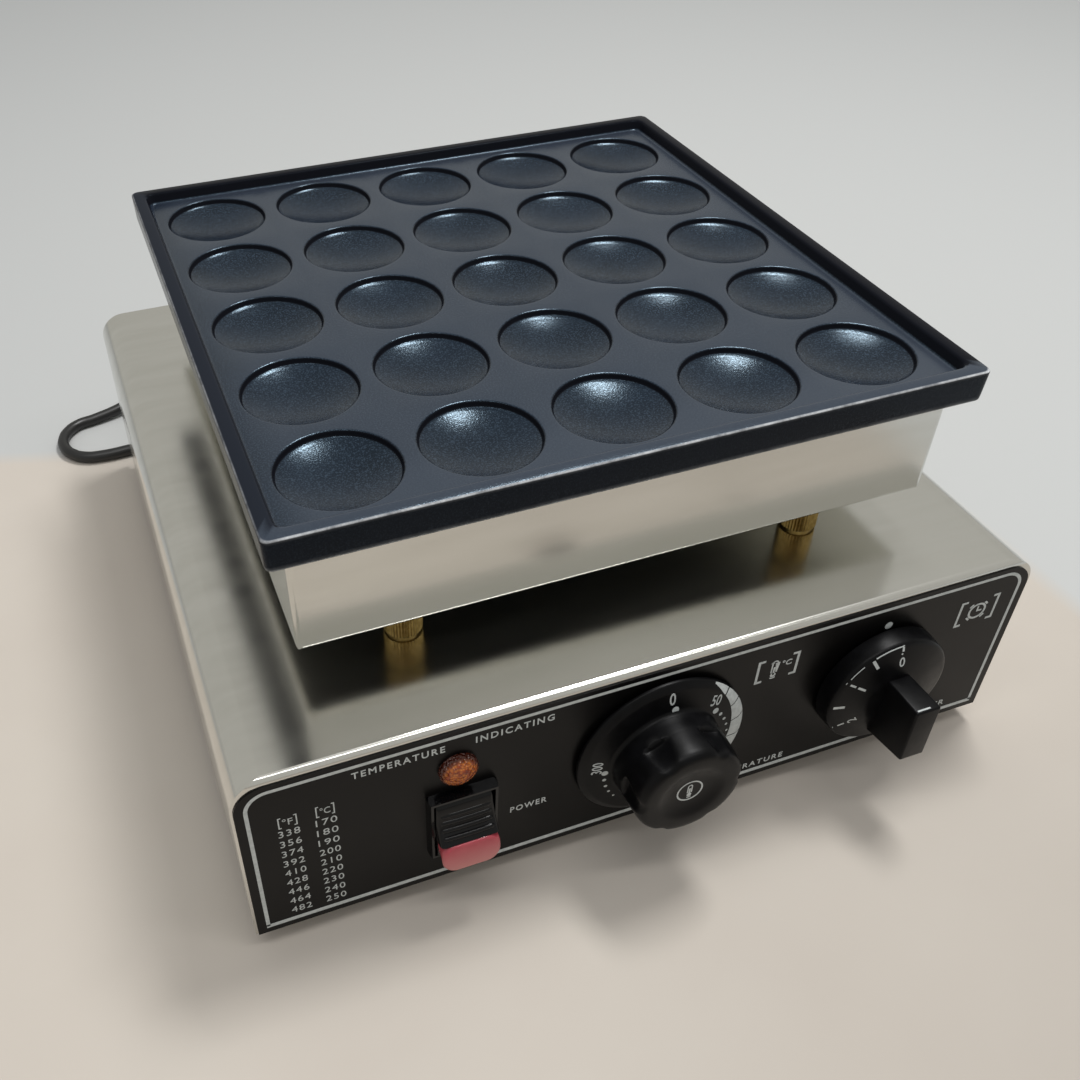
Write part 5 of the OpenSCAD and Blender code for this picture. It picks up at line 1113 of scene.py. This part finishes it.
rings = [ring(r, z, 96) for r, z in (
    (SHANK_R - 0.4, SHANK), (SHANK_R, SHANK - 0.5), (SHANK_R, 0), (HEAD_R - 0.1, 0), (HEAD_R, -0.15),
    (HEAD_R, -0.9), (3.4, -1.25), (3.15, -1.55), (2.8, -1.75))]
rings += [ring(2.5, dome(2.5), 96), cross_ring(ARM, dome(1.5)), cross_ring(ARM - 0.12, dome(1.5) + RECESS)]
screw = linked("screw", to_mesh(skin(rings), "screw", 40))
sizes = {"Screw": screw, "Seed": 4, "Plating": zinc}
tree, given, out = tree_with("screws_on_places", **sizes)
spin = add(tree, "FunctionNodeRandomValue", {"Seed": given["Seed"], "Max": (0, 0, 2 * math.pi)},
           data_type="FLOAT_VECTOR")
screws = instances(tree, given["Screw"], given["Geometry"], Rotation=spin.outputs["Value"])
end_tree(tree, out, [screws], given["Plating"])
print("screw", len(screw.data.polygons), "faces")

# %% Screws on their places
def screw_places(name, axis, head):
    """Middles of a node's screws on the plane under their heads, from groups of its points."""
    points = np.array([v.co for v in nodes[name].data.vertices]) / MM
    flat = [k for k in range(3) if k != axis]
    places = []
    while len(points):
        near = np.linalg.norm(points[:, flat] - points[0, flat], axis=1) < 2 * HEAD_R + 1
        group = points[near]
        place = (group.min(0) + group.max(0)) / 2
        place[axis] = group[:, axis].min() + HEAD_H if head < 0 else group[:, axis].max() - HEAD_H
        places.append(Vector(place) * MM)
        points = points[~near]
    return places


for name, axis, head, turn in (("back_screws", 1, 1, Matrix.Rotation(math.pi / 2, 4, "X")),
                               ("bottom_screws", 2, -1, Matrix.Identity(4))):
    places = screw_places(name, axis, head)
    spots = bpy.data.meshes.new(name + "_cross_head")
    spots.from_pydata([turn.inverted() @ place for place in places], [], [])
    screws = grown(spots, tree, **sizes)
    screws.name = name + "_cross_head"
    screws.transform(turn)
    piece(screws, "machine", zinc, [name])
    print(name, len(places), "screws")
bpy.data.objects.remove(screw)

# %% [markdown]
# ## Floor, light and background
# The machine stands on a pale table, with painted shade that darkens it towards the viewer, and beyond its edges
# the floor is a cool grey. A lamp on the ceiling, to the right, draws the sheen at the back of each dish. A strip
# above and in front draws the bright line along the front bend. The even world light fills the shadows, and the
# steel shows a room of nearly one grey.

# %% Floor
sheet = bmesh.new()
bmesh.ops.create_grid(sheet, x_segments=1, y_segments=1, size=4.0)
floor_mesh = bpy.data.meshes.new("floor")
sheet.to_mesh(floor_mesh)
sheet.free()
floor = linked("floor", floor_mesh)
# Pale cloth on a table, matt, with painted shade towards the viewer, and the grey of the room beyond it
cloth = finish("floor_cloth", ("#c9c1b6", "#c4bbb0"), 120, (0.85, 0.95))
tree, shader, place, shade = opened(cloth)
# A point on each edge of the table and the way off it, in metres, and the way to the viewer
TABLE_EDGES = [((-0.199, 0.198, 0.0), (0.296, 0.955, 0.0)), ((0.252, -0.02, 0.0), (0.999, 0.043, 0.0))]
EDGE_BLUR, TO_VIEWER = 0.006, (0.6, -0.8, 0.0)
beyond = None
for edge_at, way in TABLE_EDGES:
    off = add(tree, "ShaderNodeVectorMath", {0: place, 1: edge_at}, operation="SUBTRACT").outputs[0]
    past = add(tree, "ShaderNodeVectorMath", {0: off, 1: way}, operation="DOT_PRODUCT").outputs["Value"]
    past = ranged(tree, past, -EDGE_BLUR, EDGE_BLUR)
    beyond = add(tree, "ShaderNodeMath", {0: beyond, 1: past}, operation="MAXIMUM").outputs[0] if beyond else past
# Painted shade: the cloth darkens towards the viewer
near = add(tree, "ShaderNodeVectorMath", {0: place, 1: TO_VIEWER}, operation="DOT_PRODUCT").outputs["Value"]
shade = mixed(tree, ranged(tree, near, 0.12, 0.44), shade, linear("#aaa39a"))
shade = mixed(tree, beyond, shade, linear("#bbbcba"))
tree.links.new(shade, shader.inputs["Base Color"])
floor_mesh.materials.append(cloth)
print("floor", round(floor.dimensions.x, 2), "m")

# %% Light and background
def lamp(name, at, aim, size, power):
    """An oblong lamp aimed at a point, in metres and watts."""
    light = bpy.data.lights.new(name, "AREA")
    light.shape = "RECTANGLE"
    light.size, light.size_y = size
    light.energy = power
    made = linked(name, light)
    made.location = at
    made.rotation_euler = (Vector(aim) - Vector(at)).to_track_quat("-Z", "Y").to_euler()


lamp("ceiling_lamp", (0.5, 0.22, 1.62), (0, 0, 0.1), (0.5, 0.3), 17)
lamp("front_strip", (-0.1, -0.5, 1.7), (0, -0.1, 0.1), (2.0, 0.16), 8)
world = bpy.data.worlds.new("room")
bpy.context.scene.world = world
world.use_nodes = True
tree = world.node_tree
tree.nodes.clear()
path = add(tree, "ShaderNodeLightPath").outputs
way = add(tree, "ShaderNodeSeparateXYZ", {"Vector": add(tree, "ShaderNodeTexCoord").outputs["Object"]}).outputs
room = mixed(tree, ranged(tree, way["Y"], -0.5, 0.6), linear("#c0bfba"), linear("#bebdb7"))
soft = add(tree, "ShaderNodeBackground", {"Color": linear("#f2f3f4"), "Strength": 0.55})
wall = add(tree, "ShaderNodeBackground", {"Color": room, "Strength": 1.0})
seen = add(tree, "ShaderNodeMixShader", {0: path["Is Glossy Ray"], 1: soft.outputs[0], 2: wall.outputs[0]})
add(tree, "ShaderNodeOutputWorld", {"Surface": seen.outputs[0]})
bpy.context.scene.view_settings.view_transform = "Standard"
print("lights ready")
